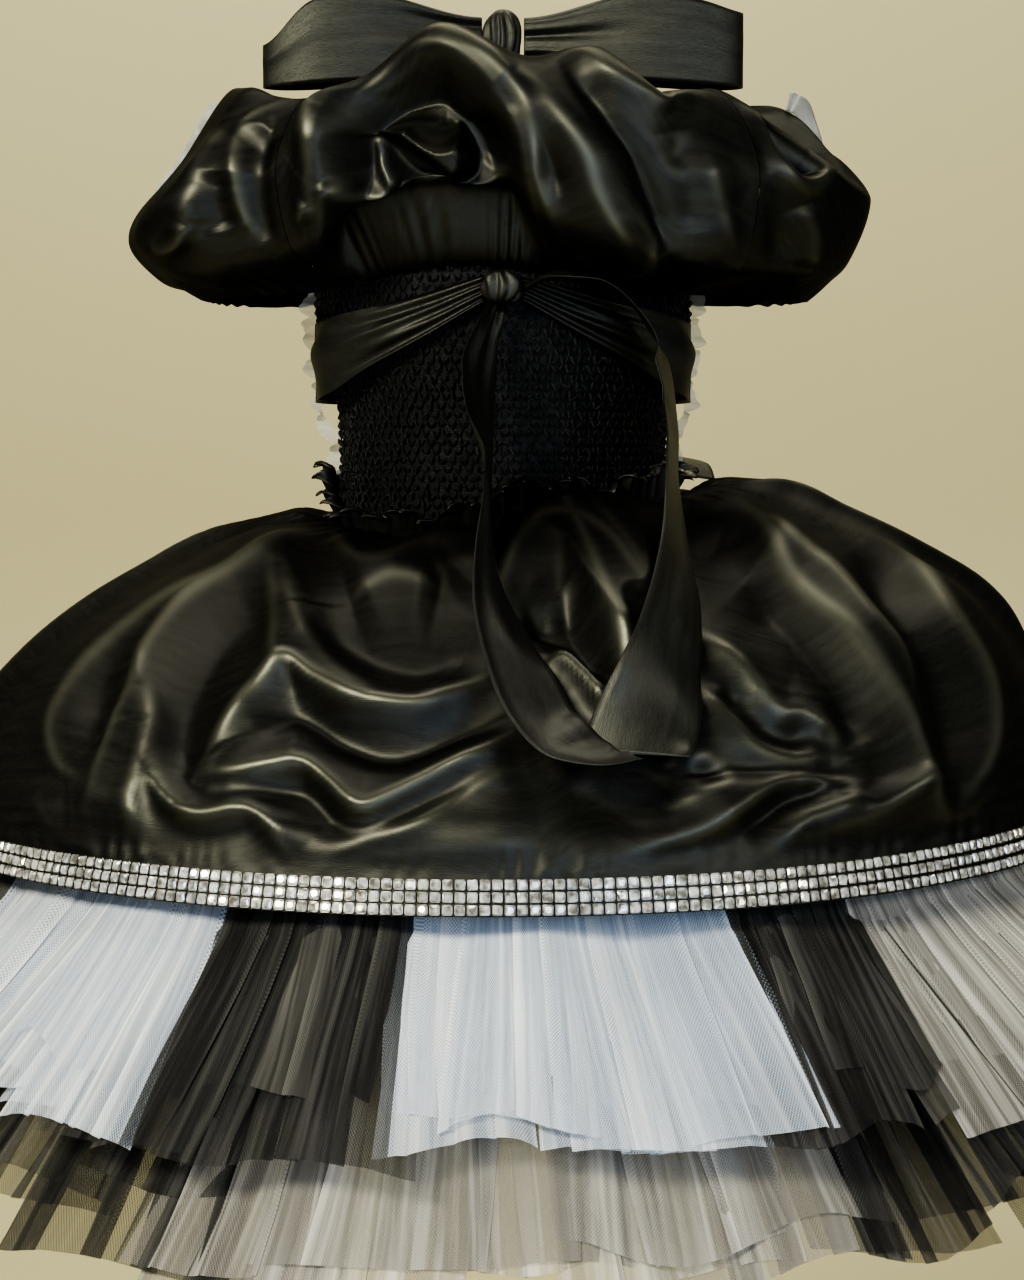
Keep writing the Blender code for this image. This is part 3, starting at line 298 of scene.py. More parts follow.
# Creases of its sides and front, each placed by its turn and its length down from the waist
SKIRT_SIDE_CREASES = shaped(
    Crease,
    (15, 10, 0.2, (66, 40), (74, 110), (82, 190), (79, 245)),
    (14, -10, 0, (88, 30), (92, 110), (96, 200), (91, 255)),
    (13, 11, 0.3, (102, 60), (110, 150), (104, 215), (112, 262)),
    (13, -9, 0, (120, 40), (123, 120), (131, 200)),
    (13, 10, 0.3, (140, 30), (136, 120), (144, 185), (154, 225)),
    (12, 10, -0.3, (170, 215), (158, 170), (166, 120), (180, 110)),
    (15, -11, 0, (172, 60), (186, 140), (182, 210)),
    (13, 11, 0.3, (196, 50), (204, 130), (198, 210), (206, 255)),
    (13, -9, 0, (216, 40), (221, 130), (228, 205)),
    (13, 10, 0.2, (238, 60), (234, 140), (243, 215), (252, 250)),
    (14, -9, 0, (256, 40), (262, 130), (258, 220)),
    (13, 9, 0.2, (274, 50), (280, 130), (285, 220), (280, 262)),
    (9, 6, 0.4, (118, 235), (127, 205), (136, 222), (148, 210), (160, 238)),
    (9, 6, 0.4, (206, 190), (214, 165), (226, 180), (236, 160)),
    (8, 5, 0.3, (84, 150), (92, 140), (100, 120)),
    (8, 5, 0.3, (256, 225), (266, 205), (274, 228), (284, 240)),
    (8, 5, -0.3, (168, 240), (178, 228), (190, 245), (202, 232)),
    (7, 4, 0, (112, 90), (122, 100), (130, 85)),
    (8, 4, 0, (186, 90), (196, 110), (210, 100)),
    (8, 5, 0.2, (244, 110), (250, 150), (256, 180)),
)
SKIRT_GATHERS = 46
HEM_PUCKERS = 150

# Creases of the flounce's back and puffs, in the reference view's pixels
FLOUNCE_CREASES = shaped(
    Crease,
    (7, 8, 0, (314, 214), (313, 170), (315, 130), (318, 100), (333, 73), (355, 50), (390, 36), (437, 35),
     (479, 56), (513, 93), (532, 132), (539, 174), (553, 211), (566, 235)),
    (16, 8, 0, (517, 72), (552, 104), (584, 146), (600, 190), (622, 232), (640, 258)),
    (9, -12, 0, (556, 60), (590, 90), (615, 120), (636, 150), (650, 190), (660, 228), (672, 268)),
    (6, -6, 0, (498, 82), (526, 120), (548, 160), (560, 200)),
    (6, 6, 0.4, (577, 250), (603, 267), (627, 272), (647, 263), (655, 246), (647, 226), (640, 204)),
    (7, 7, 0.4, (560, 44), (588, 53), (608, 70), (632, 87), (647, 96), (662, 104), (677, 98), (692, 92),
     (712, 92), (729, 98), (744, 113), (752, 131), (763, 150), (780, 170), (800, 187), (816, 188),
     (830, 177)),
    (12, 4, 0, (706, 150), (716, 190), (726, 225), (742, 262)),
    (11, -5, 0, (676, 130), (690, 180), (700, 235)),
    (9, -4, 0, (750, 180), (768, 215), (780, 262)),
    (8, 4, 0, (800, 205), (812, 235), (808, 268)),
    (13, 6, 0.5, (288, 109), (262, 110), (247, 128), (238, 152), (236, 182), (244, 214), (262, 240)),
    (10, -12, 0, (274, 130), (266, 165), (266, 205), (276, 240)),
    (7, 4, 0.2, (306, 112), (293, 132), (284, 160), (281, 190), (274, 211)),
    (5, 5, 0.3, (273, 214), (286, 218), (302, 216), (311, 200)),
    (11, 4, 0, (224, 130), (204, 162), (190, 198), (184, 232)),
    (9, -5, 0, (216, 172), (216, 202), (226, 232)),
    (6, 5, 0.4, (152, 240), (166, 247), (182, 240), (188, 222)),
    (7, 4, 0, (150, 262), (185, 285), (230, 296)),
)
# The arched hollow in the flounce's back, open below, the folded cloth in it and the pocket at the right
FLOUNCE_PATCHES = shaped(
    Patch,
    (-30, 17, 0.15, (323, 205), (320, 150), (327, 108), (345, 75), (370, 54), (402, 45), (440, 46),
     (473, 66), (500, 96), (519, 132), (527, 172), (540, 222), (556, 292), (430, 330), (312, 300),
     (318, 250)),
    (23, 15, 0.3, (350, 124), (378, 114), (404, 112), (424, 128), (444, 127), (458, 113), (476, 136),
     (483, 164), (476, 190), (450, 206), (424, 190), (396, 164)),
    (-19, 10, 0.5, (757, 113), (764, 138), (778, 161), (798, 179), (818, 179), (828, 168), (815, 151),
     (795, 133), (775, 115)),
)
HOLLOW_CREASES = shaped(
    Crease,
    (5, 6, 0.4, (353, 126), (380, 117), (403, 117), (420, 134), (440, 137), (456, 124)),
    (4, 6, 0.2, (353, 128), (362, 148), (368, 170), (380, 190), (392, 206)),
    (5, -7, 0, (360, 136), (384, 166), (412, 194), (440, 214)),
    (7, 9, 0.2, (330, 178), (341, 200), (364, 212), (392, 214)),
    (9, 8, 0.2, (440, 214), (472, 204), (494, 190), (508, 168)),
)
FLOUNCE_SIDE_CREASES = shaped(
    Crease,
    (9, -8, 0, (100, 75), (104, 130), (101, 180)),
    (8, 6, 0.3, (118, 75), (121, 130), (118, 175)),
    (9, -9, 0, (138, 75), (141, 130), (137, 180)),
    (9, 7, 0.3, (155, 80), (158, 140), (154, 190)),
    (9, -9, 0, (172, 75), (170, 130), (175, 180)),
    (9, 7, 0.3, (190, 80), (193, 140), (188, 190)),
    (9, -9, 0, (207, 75), (204, 130), (209, 180)),
    (8, 6, 0.3, (224, 75), (227, 130), (223, 180)),
    (9, -8, 0, (243, 75), (240, 130), (245, 180)),
    (9, 6, 0.3, (262, 75), (266, 130), (262, 180)),
    (7, 5, 0.4, (146, 110), (152, 122), (160, 118), (166, 132)),
    (7, 5, -0.4, (196, 150), (200, 136), (208, 142), (214, 128)),
    (6, 4, 0, (180, 100), (184, 112), (181, 126)),
    (6, 4, 0, (112, 140), (118, 150), (126, 144)),
)
NECK_GATHERS = 96
# How much of its folds the flounce loses where it is seen edge on, and how far it is drawn in there
OUTLINE_KEPT = 0.7
OUTLINE_DROP = 1.5

SASH_ARM = columns(
    "turn top bottom out",
    (5.3, 125, 111, 5.0), (22, 116, 93, 4.5), (40, 109, 77, 5.0), (60, 105, 62, 5.5), (80, 103, 58, 1.75),
)
SASH_FRONT_TURNS = (80.4, 279.6)

# The sash's hanging ends, from the knot to the cut end: their middle line, how far they are turned on
# edge, in degrees, and their breadth as a share of the ribbon's
LEFT_TAIL = columns(
    "across along up roll broad",
    (-3, -94, 107.2, 50, 0.24), (-8, -103, 92, 70, 0.52), (-13, -114, 66, 64, 0.8), (-12, -126, 38, 72, 0.94),
    (-7.8, -156, 7.6, 87, 1), (-7.6, -192, -11.3, 85, 1), (-6.9, -224, -31.1, 76, 1), (-2, -254, -56, 58, 1),
    (8, -280, -80, 44, 0.98), (19, -300, -99, 36, 0.95), (33, -312, -110, 30, 0.86),
    (47.5, -318, -112, 30, 0.6), (60.9, -320, -110.5, 30, 0.3),
)
RIGHT_TAIL = columns(
    "across along up roll broad",
    (13.4, -93.5, 118.5, 20, 0.24), (28, -101, 124, 24, 0.44), (50, -106, 122, 30, 0.64),
    (72, -102, 106, 40, 0.84), (86, -98, 80, 60, 0.96), (91, -106, 48, 76, 1), (91, -130, 21, 80, 1),
    (90.2, -160, 4.5, 77, 1), (89.5, -190, -10.3, 73, 1), (88.3, -220, -26.4, 68, 1),
    (84.6, -248, -49.4, 60, 1), (79.4, -269, -68.4, 52, 1), (74, -284, -84.1, 36, 1),
    (67, -295, -98.5, 18, 1), (60, -303, -112, 4, 0.98),
)
TAIL_CLEARANCE = 2.0
CROSSING_CLEARANCE = 1.5
OFF_THE_SKIRT = (0.0, -0.7071, 0.7071)
HIGH_ABOVE = 400.0

RUFFLE_TOP = 124.0
RUFFLE_FOOT = 14.0
RUFFLE_WAVES = 6
RUFFLE_TURN = 104.0
RUFFLE_STANDS = 17.0
RUFFLE_SWING = 6.0
SHOULDER_TRIM = columns(
    "turn from_length to_length stands",
    (-100, 52, 108, 13), (112, 66, 122, 12),
)
BOW_REACH = 150.0
BOW_TAPERS = {"bow_loop_left": 0.5, "bow_loop_right": 0.12}
BOW_BELLY = 17.0
BOW_MIDDLE_UP = 287.3
BOW_TALL = 52.0
BOW_PINCHED_TALL = 26.0
BOW_MIDDLE_DEPTH = 118.0
BOW_ENDS_APART = 5.0
KNOT_HALF_WIDTH = 13.0
BOW_KNOT_HALF_SIZE = (KNOT_HALF_WIDTH, 11.0, 19.0)

# Waist ribbon end: how far out and how high, along its length in each row and across it in each column
WAIST_RIBBON_TURN = 112.0
WAIST_RIBBON_COLUMN = 6.0
WAIST_RIBBON_OUTS = np.array([[0.9, 0.9, 0.9], [22.0, 24.0, 20.0], [46.0, 50.0, 36.0]])
WAIST_RIBBON_HEIGHTS = np.array([[18.0, 25.0, 31.0], [16.0, 24.0, 30.0], [13.0, 23.0, 28.0]])

# The stage, in metres: its floor, the bend up to its backdrop, and its lights
FLOOR_HEIGHT = -0.95
FLOOR_NEAR = -4.0
FLOOR_FAR = 1.2
BACKDROP_BEND = 0.9
BACKDROP_TOP = 4.0
BACKDROP_HALF_WIDTH = 5.0
Light = namedtuple("Light", "place aim size power colour")
LIGHTS = {
    "key": Light((-1.25, -1.8, 1.15), (0, -0.2, -0.05), (0.7, 0.5), 46.0, (1.0, 0.97, 0.79)),
    "cool": Light((0.8, -2.3, 0.35), (0, -0.2, -0.1), (1.0, 0.8), 12.0, (0.58, 0.74, 1.0)),
    "low": Light((-0.2, -1.9, -0.65), (0, -0.3, -0.15), (1.4, 0.3), 6.0, (0.66, 0.80, 1.0)),
    "over": Light((-0.4, -0.2, 2.2), (0, -0.1, 0.0), (0.5, 0.4), 4.0, (1.0, 0.97, 0.8)),
    "side": Light((1.25, -1.3, 0.55), (0.09, -0.22, -0.03), (0.35, 0.35), 4.5, (1.0, 0.97, 0.79)),
    "rim": Light((0.8, 0.9, 1.6), (0, 0, 0.0), (0.5, 0.5), 3.0, (1.0, 0.97, 0.86)),
    "wall": Light((0.0, 0.9, 2.6), (0, 2.1, 0.0), (3.0, 1.0), 60.0, (1.0, 0.96, 0.86)),
}
SKY_COLOUR = (0.9, 0.93, 1.0, 1)
SKY_STRENGTH = 0.06


def smooth(at, places, values):
    """A smooth curve through the rows of a table that never swings past them, flat past its ends."""
    at = np.clip(np.asarray(at, float), places[0], places[-1])
    steps = np.diff(places)
    slopes = np.diff(values) / steps
    lean = np.concatenate([slopes[:1], slopes[:-1], slopes[-1:]])
    before, after = slopes[:-1], slopes[1:]
    same_way = before * after > 0
    lean[1:-1] = np.where(same_way, 2 * before * after / np.where(same_way, before + after, 1), 0)
    row = np.clip(np.searchsorted(places, at, side="right") - 1, 0, len(places) - 2)
    share = (at - places[row]) / steps[row]
    start, end = values[row], values[row + 1]
    bend = steps[row] * (lean[row] * share * (1 - share) ** 2 - lean[row + 1] * share**2 * (1 - share))
    return start * (1 + 2 * share) * (1 - share) ** 2 + end * share**2 * (3 - 2 * share) + bend


def curves(at, places, table, *names):
    """The smooth curves through several columns of a table."""
    return [smooth(at, places, table[name]) for name in names]


def ramp(value, low, high):
    """0 below low and 1 above high, with a soft change between them."""
    share = np.clip((np.asarray(value, float) - low) / (high - low), 0, 1)
    return share * share * (3 - 2 * share)


def reached(steps):
    """Length at each point of a line, from the lengths of its steps."""
    return np.concatenate([[0], np.cumsum(steps)])


def unit(ways):
    """The same directions, of length 1."""
    return ways / np.linalg.norm(ways, axis=-1, keepdims=True)


def wrapped(turn):
    """The same turn from -180 to 180 degrees."""
    return (np.asarray(turn, float) + 180) % 360 - 180


def seen(points):
    """Where points show in the reference view, in its pixels."""
    across, along, up = points[..., 0], points[..., 1] + VIEW_DISTANCE, points[..., 2] - VIEW_HEIGHT
    depth = along * math.cos(VIEW_TILT) - up * math.sin(VIEW_TILT)
    rise = up * math.cos(VIEW_TILT) + along * math.sin(VIEW_TILT)
    across, rise = VIEW_FOCAL * across / depth, VIEW_FOCAL * rise / depth
    return np.stack([VIEW_MIDDLE_X + across, VIEW_MIDDLE_Y - rise], -1)


def curved(line, closed=False):
    """Points along the smooth curve through a line's points."""
    points = np.array(line, float)
    if closed:
        points = np.concatenate([points[-1:], points, points[:2]])
    else:
        points = np.concatenate([2 * points[:1] - points[1:2], points, 2 * points[-1:] - points[-2:-1]])
    share = np.linspace(0, 1, CURVE_STEPS, endpoint=False)[:, None]
    runs = []
    for before, start, end, after in zip(points[:-3], points[1:-2], points[2:-1], points[3:]):
        slope = (end - before) * share
        bend = (2 * before - 5 * start + 4 * end - after) * share**2
        turn = (3 * start - 3 * end + after - before) * share**3
        runs.append(start + 0.5 * (slope + bend + turn))
    return np.concatenate(runs + [points[-2:-1]])


def along_line(spots, line):
    """How far each place is from a line, which side of it, and how far along it from 0 to 1."""
    runs = np.diff(line, axis=0)
    lengths = np.maximum(np.hypot(runs[:, 0], runs[:, 1]), 1e-6)
    before_runs = reached(lengths)
    best = np.full(len(spots), 1e9)
    side = np.zeros(len(spots))
    share = np.zeros(len(spots))
    for start, run, length, before in zip(line[:-1], runs, lengths, before_runs):
        along = np.clip(((spots - start) @ run) / length**2, 0, 1)
        away = spots - start - along[:, None] * run
        gap = np.hypot(away[:, 0], away[:, 1])
        nearer = gap < best
        best = np.where(nearer, gap, best)
        side = np.where(nearer, np.sign(run[0] * away[:, 1] - run[1] * away[:, 0]), side)
        share = np.where(nearer, (before + along * length) / before_runs[-1], share)
    return best, side, share


def add_creases(rise, places, creases, size, shine=None):
    """Adds each crease to the rise of a grid whose places are in the plane of the creases' lines.

    Where shine is given, the crests are marked in it for a painted highlight in the cloth's colour.
    """
    places = places * size
    for crease in creases:
        line = curved(crease.line) * size
        reach = 3.2 * crease.width
        near = np.all((places > line.min(0) - reach) & (places < line.max(0) + reach), axis=-1)
        best, side, share = along_line(places[near], line)
        rounded = np.hypot(best, CREST_ROUND) - CREST_ROUND
        narrow = crease.width * (1 - crease.steep * side * ramp(best, 0, CREST_ROUND * 2))
        taper = ramp(share, -0.1, 0.22) * ramp(-share, -1.1, -0.78)
        rise[near] += crease.rise * np.exp(-((rounded / narrow) ** 1.25)) * taper
        # The crest's painted highlight, a narrow band along its line
        if shine is not None and crease.rise > 0:
            crest = min(crease.rise / SHINY_RISE, 1) * np.exp(-((best / SHINE_WIDTH) ** 2)) * taper
            shine[near] = np.maximum(shine[near], crest)
    return rise


def add_patches(rise, places, patches, size, shine):
    """Raises or sinks the cloth inside each closed outline, and marks the outline's edge for a painted
    highlight.
    """
    places = places * size
    for patch in patches:
        line = curved(patch.line, closed=True) * size
        near = np.all((places > line.min(0) - 6) & (places < line.max(0) + 6), axis=-1)
        spots = places[near]
        best, _, _ = along_line(spots, line)
        crossings = np.zeros(len(spots))
        for (from_x, from_y), (to_x, to_y) in zip(line[:-1], line[1:]):
            spans = (from_y > spots[:, 1]) != (to_y > spots[:, 1])
            meets = from_x + (spots[:, 1] - from_y) / (to_y - from_y + 1e-9) * (to_x - from_x)
            crossings += spans & (meets > spots[:, 0])
        inside = crossings % 2 == 1
        depth = np.where(inside, best, 0)
        rise[near] += patch.rise * ramp(depth, 0, patch.soft)
        shine[near] = np.maximum(shine[near], patch.edge * np.exp(-((best / SHINE_WIDTH) ** 2)))
        # No painted highlight deep inside a hollow
        if patch.rise < 0:
            shine[near] *= 1 - 0.9 * ramp(depth, 1, 5)
    return rise


def scaled_places(creases, mm_per_degree):
    """The creases with their turns as lengths round the body."""
    return [
        crease._replace(line=[(turn * mm_per_degree, down) for turn, down in crease.line])
        for crease in creases
    ]


def oval(half_width, half_depth, turn):
    """Point and outward direction of an oval round the body."""
    angle = np.radians(turn)
    point = np.stack([half_width * np.sin(angle), -half_depth * np.cos(angle)], -1)
    out = np.stack([half_depth * np.sin(angle), -half_width * np.cos(angle)], -1)
    return point, unit(out)


def lifted(flat, height):
    """A level point given its height."""
    return np.concatenate([flat, np.broadcast_to(height, flat.shape[:-1])[..., None]], -1)


def bodice_point(turn, height, out=0.0):
    """A point at a distance out from the bodice."""
    point, away = oval(*curves(height, BODICE["height"], BODICE, "half_width", "half_depth"), turn)
    return lifted(point + away * np.asarray(out, float)[..., None], height)


def waist_height(turn):
    """Height of the elastic channel at a turn."""
    return smooth(wrapped(turn), WAIST["turn"], WAIST["height"])


SKIRT_LENGTHS = reached(np.hypot(np.diff(SKIRT["half_width"]), np.diff(SKIRT["back"])))
SKIRT_LENGTH = SKIRT_LENGTHS[-1]
SKIRT_WAIST = -20.0


def skirt_base(turn, down):
    """The overskirt's plain form, at a length down from the channel."""
    side = np.sin(np.radians(turn))
    rightward, leftward = np.clip(side, 0, 1) ** 2, np.clip(-side, 0, 1) ** 2
    droop = (waist_height(turn) - SKIRT_WAIST) * (1 - ramp(down, 0, 120)) * np.cos(np.radians(turn)) ** 2
    back, right, left = curves(down, SKIRT_LENGTHS, SKIRT, "back", "right", "left")
    middle = back + droop
    height = middle + rightward * (right - middle) + leftward * (left - middle)
    height = height + (waist_height(turn) + 0.2 - height) * (1 - ramp(down, 0, 24))
    point, _ = oval(*curves(down, SKIRT_LENGTHS, SKIRT, "half_width", "half_depth"), turn)
    return lifted(point, height)


def grid_normals(points, ring=False):
    """Direction square to a grid of points at each of them."""
    if ring:
        across = np.roll(points, -1, axis=1) - np.roll(points, 1, axis=1)
    else:
        across = np.gradient(points, axis=1)
    normal = np.cross(np.gradient(points, axis=0), across)
    return normal / np.maximum(np.linalg.norm(normal, axis=-1, keepdims=True), 1e-9)


def outward_sign(face, ring=False):
    """1 where the grid's direction points away from the body's axis, and -1 where it doesn't."""
    normal = grid_normals(face, ring)
    return 1.0 if (normal[..., :2] * unit(face[..., :2])).sum() > 0 else -1.0


def skirt_surface(turns, lengths):
    """The creased overskirt's outer face on a grid of turns and lengths down, and its painted crest
    highlight.
    """
    down, turn = np.meshgrid(lengths, turns, indexing="ij")
    base = skirt_base(turn, down)
    normal = grid_normals(base, True)
    facing = ramp(-base[..., 1], 40, 110)
    shine = np.zeros(down.shape)
    rise = add_creases(np.zeros(down.shape), seen(base), SKIRT_CREASES, VIEW_MM_PER_PIXEL, shine) * facing
    shine = shine * facing
    around = np.where(turn < 20, turn + 360, turn)
    side_creases = scaled_places(SKIRT_SIDE_CREASES, SKIRT_MM_PER_DEGREE)
    rise = add_creases(rise, np.stack([around * SKIRT_MM_PER_DEGREE, down], -1), side_creases, 1.0, shine)
    angle = np.radians(turn)
    behind = 0.35 + 0.65 * ramp(-np.cos(angle), -0.1, 0.5)
    gathers = 3.2 * np.sin(angle * 18 + 1.3 * np.sin(angle * 5)) * ramp(down, 4, 40)
    gathers = gathers * (1 - ramp(down, 60, 190)) * behind
    fine = np.sin(angle * SKIRT_GATHERS + 2.0 * np.sin(angle * 7)) * (0.7 + 0.5 * np.sin(angle * 11 + 2))
    fine = 1.7 * fine * ramp(down, 1, 9) * (1 - ramp(down, 16, 74 + 22 * np.sin(angle * 9)))
    drift = np.sin(angle * 23 + down * 0.035) * np.sin(angle * 9 - down * 0.021 + 1) * ramp(down, 30, 90)
    drift = 1.3 * drift * behind
    rise = np.clip(rise, -15, 17) + gathers + drift
    fades = ramp(down, 8, 40) * (1 - ramp(down, SKIRT_LENGTH - 46, SKIRT_LENGTH - TRIM_WIDTH - 1))
    hem_wave = 1.6 * np.sin(angle * 7 + 0.6) * ramp(down, SKIRT_LENGTH - 60, SKIRT_LENGTH - 20)
    pucker_places = 0.35 + 0.65 * ramp(np.sin(angle * 9 + 0.7) + 0.5 * np.sin(angle * 31), -0.2, 1.0)
    puckers = np.sin(angle * HEM_PUCKERS + 5 * np.sin(angle * 13) + 2.2 * np.sin(angle * 41)) * pucker_places
    above_trim = SKIRT_LENGTH - TRIM_WIDTH - down
    reaches = 14 + 7 * np.sin(angle * 27) + 5 * np.sin(angle * 53 + 1)
    puckers = 0.9 * puckers * ramp(above_trim, 0, 3) * (1 - ramp(above_trim, 2, reaches))
    return base + normal * (rise * fades + hem_wave + fine + puckers)[..., None], shine * fades


# Making meshes


def settings():
    """The dress's own settings."""
    return bpy.context.scene.tutu_dress


def link(piece):
    """Shows a piece in the scene."""
    bpy.context.scene.collection.objects.link(piece)
    return piece


def corners_of(grid):
    """What a grid holds at the four corners of each of its faces."""
    corners = np.stack([grid[:-1, :-1], grid[:-1, 1:], grid[1:, 1:], grid[1:, :-1]], 2)
    return corners.reshape(-1, 4, *grid.shape[2:])


def add_mesh(name, mesh):
    """Shows a mesh in the scene as an object."""
    return link(bpy.data.objects.new(name, mesh))


def plain_mesh(piece):
    """The mesh of a piece with its modifiers applied."""
    return bpy.data.meshes.new_from_object(piece.evaluated_get(bpy.context.evaluated_depsgraph_get()))


def grid_faces(rows, count, ring, first=0):
    """Four-cornered faces of a grid, by the numbers of its points."""
    places = np.arange(rows * count).reshape(rows, count) + first
    return corners_of(np.concatenate([places, places[:, :1]], 1) if ring else places)


def build_mesh(name, points, faces, uvs, marks=None):
    """A smooth mesh of four-cornered faces, with a place on the cloth at each corner, in metres."""
    mesh = bpy.data.meshes.new(name)
    mesh.vertices.add(len(points))
    mesh.vertices.foreach_set("co", (points * MM).astype(np.float32).ravel())
    mesh.loops.add(faces.size)
    mesh.loops.foreach_set("vertex_index", faces.astype(np.int32).ravel())
    mesh.polygons.add(len(faces))
    mesh.polygons.foreach_set("loop_start", np.arange(0, faces.size, 4, dtype=np.int32))
    mesh.update(calc_edges=True)
    layer = mesh.uv_layers.new(name="Cloth")
    layer.data.foreach_set("uv", (uvs * MM).astype(np.float32).ravel())
    for key, values in (marks or {}).items():
        mark = mesh.attributes.new(key, "FLOAT", "POINT")
        mark.data.foreach_set("value", np.asarray(values, np.float32).ravel())
    mesh.shade_smooth()
    mesh.validate()
    return mesh


def cloth_uv(points, ring=False):
    """Lengths round and down a grid of points, in millimetres."""
    closed = np.concatenate([points, points[:, :1]], 1) if ring else points
    middle = closed[closed.shape[0] // 2]
    around = reached(np.linalg.norm(np.diff(middle, axis=0), axis=-1))
    down = np.concatenate([
        np.zeros((1, closed.shape[1])), np.cumsum(np.linalg.norm(np.diff(closed, axis=0), axis=-1), axis=0)
    ])
    return np.stack([np.broadcast_to(around, down.shape), down], -1)


def add_sheet(name, points, ring=False, wall=None, marks=None):
    """A sheet through a grid of points, facing away from the body's axis, thick on its inner side."""
    faces = grid_faces(*points.shape[:2], ring)
    corners = corners_of(cloth_uv(points, ring))
    if outward_sign(points, ring) > 0:
        faces, corners = faces[:, ::-1], corners[:, ::-1]
    piece = add_mesh(name, build_mesh(name, points.reshape(-1, 3), faces, corners, marks))
    if wall is not None:
        solidify = piece.modifiers.new("Thickness", "SOLIDIFY")
        solidify.thickness = wall * MM
        solidify.offset = -1.0
        solidify.use_even_offset = False
        plain = plain_mesh(piece)
        piece.modifiers.clear()
        piece.data = plain
        plain.shade_smooth()
    return piece


def finish_extra(piece, nodes):
    """Hangs a piece on the body and hides the solids it stands for."""
    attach(piece, BODY)
    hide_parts(*nodes)


def finish_piece(piece, slot, nodes, flat, material=None):
    """Gives a piece its material, that of its slot unless told; the cut it was made from is not used."""
    piece.data.materials.clear()
    piece.data.materials.append(material_called(material or slot.replace("_", " ").capitalize()))
    finish_extra(piece, nodes)


def measured(piece):
    """Area of a piece's faces in square metres."""
    areas = np.zeros(len(piece.data.polygons))
    piece.data.polygons.foreach_get("area", areas)
    return float(areas.sum())


def cut_by_area(area, length):
    """Width and length in millimetres of a cut of this area in square metres and this length."""
    return area / MM / length / MM, length


# Nodes and materials


VECTOR, FLOAT = "NodeSocketVector", "NodeSocketFloat"


def feed(tree, made, inputs):
    """Links or sets a node's inputs, by name or number."""
    for key, value in inputs.items():
        if isinstance(value, bpy.types.NodeSocket):
            tree.links.new(value, made.inputs[key])
        else:
            made.inputs[key].default_value = value


def node(tree, kind, inputs=None, **choices):
    """Adds a node with its choices and inputs."""
    made = tree.nodes.new(kind)
    for key, value in choices.items():
        setattr(made, key, value)
    feed(tree, made, inputs or {})
    return made


def new_group(name, tree_kind, inputs, outputs):
    """An empty node group with named sockets, its inputs given as name, kind and default."""
    group = bpy.data.node_groups.new(name, tree_kind)
    for title, kind, default in inputs:
        socket = group.interface.new_socket(title, in_out="INPUT", socket_type=kind)
        if default is not None:
            socket.default_value = default
    for title, kind in outputs:
        group.interface.new_socket(title, in_out="OUTPUT", socket_type=kind)
    return group, group.nodes.new("NodeGroupInput"), group.nodes.new("NodeGroupOutput")


def math_node(tree, operation, first, second=0.0, clamp=False):
    """The result of one sum."""
    made = node(tree, "ShaderNodeMath", {0: first, 1: second}, operation=operation, use_clamp=clamp)
    return made.outputs[0]


def noise(tree, places, scale, detail=2.0):
    """Soft noise from 0 to 1."""
    made = node(tree, "ShaderNodeTexNoise", {"Vector": places, "Scale": scale, "Detail": detail})
    return made.outputs["Fac"]


def point_mark(tree, name):
    """A value that each point of the mesh carries."""
    return node(tree, "ShaderNodeAttribute", attribute_name=name).outputs["Fac"]


def mixed(tree, factor, low, high):
    """A colour between two, by a factor."""
    return node(tree, "ShaderNodeMix", {0: factor, 6: low, 7: high}, data_type="RGBA").outputs[2]


def between(tree, value, low, high, start=0.0, end=1.0):
    """A value from start to end, spread from low to high."""
    spread = {"Value": value, "From Min": start, "From Max": end, "To Min": low, "To Max": high}
    return node(tree, "ShaderNodeMapRange", spread).outputs[0]


def bumped(tree, shader, height, distance):
    """Raises a shader's surface by a height."""
    bump = node(tree, "ShaderNodeBump", {"Height": height, "Distance": distance, "Strength": 1.0})
    feed(tree, shader, {"Normal": bump.outputs[0]})


def cloth_places(tree):
    """Places on the cloth, in metres."""
    return node(tree, "ShaderNodeUVMap", uv_map="Cloth").outputs[0]


def own_places(tree):
    """Places in the object, in metres."""
    return node(tree, "ShaderNodeTexCoord").outputs["Object"]


def weave_group(name):
    """Fine satin weave: long floating threads, uneven in tone and height."""
    group, given, result = new_group(
        name, "ShaderNodeTree",
        [("Vector", VECTOR, None), ("Threads", FLOAT, 2200.0), ("Float length", FLOAT, 9.0)],
        [("Height", FLOAT), ("Streak", FLOAT)],
    )
    parts = node(group, "ShaderNodeSeparateXYZ", {0: given.outputs["Vector"]}).outputs
    across = math_node(group, "MULTIPLY", parts[0], given.outputs["Threads"])
    down = math_node(group, "MULTIPLY", parts[1], given.outputs["Threads"])
    stretched = math_node(group, "DIVIDE", across, given.outputs["Float length"])
    place = node(group, "ShaderNodeCombineXYZ", {0: stretched, 1: down}).outputs[0]
    threads = noise(group, place, 1.0)
    broad = noise(group, place, 0.09, 3.0)
    feed(group, result, {"Height": threads, "Streak": math_node(group, "MULTIPLY", threads, broad)})
    return group


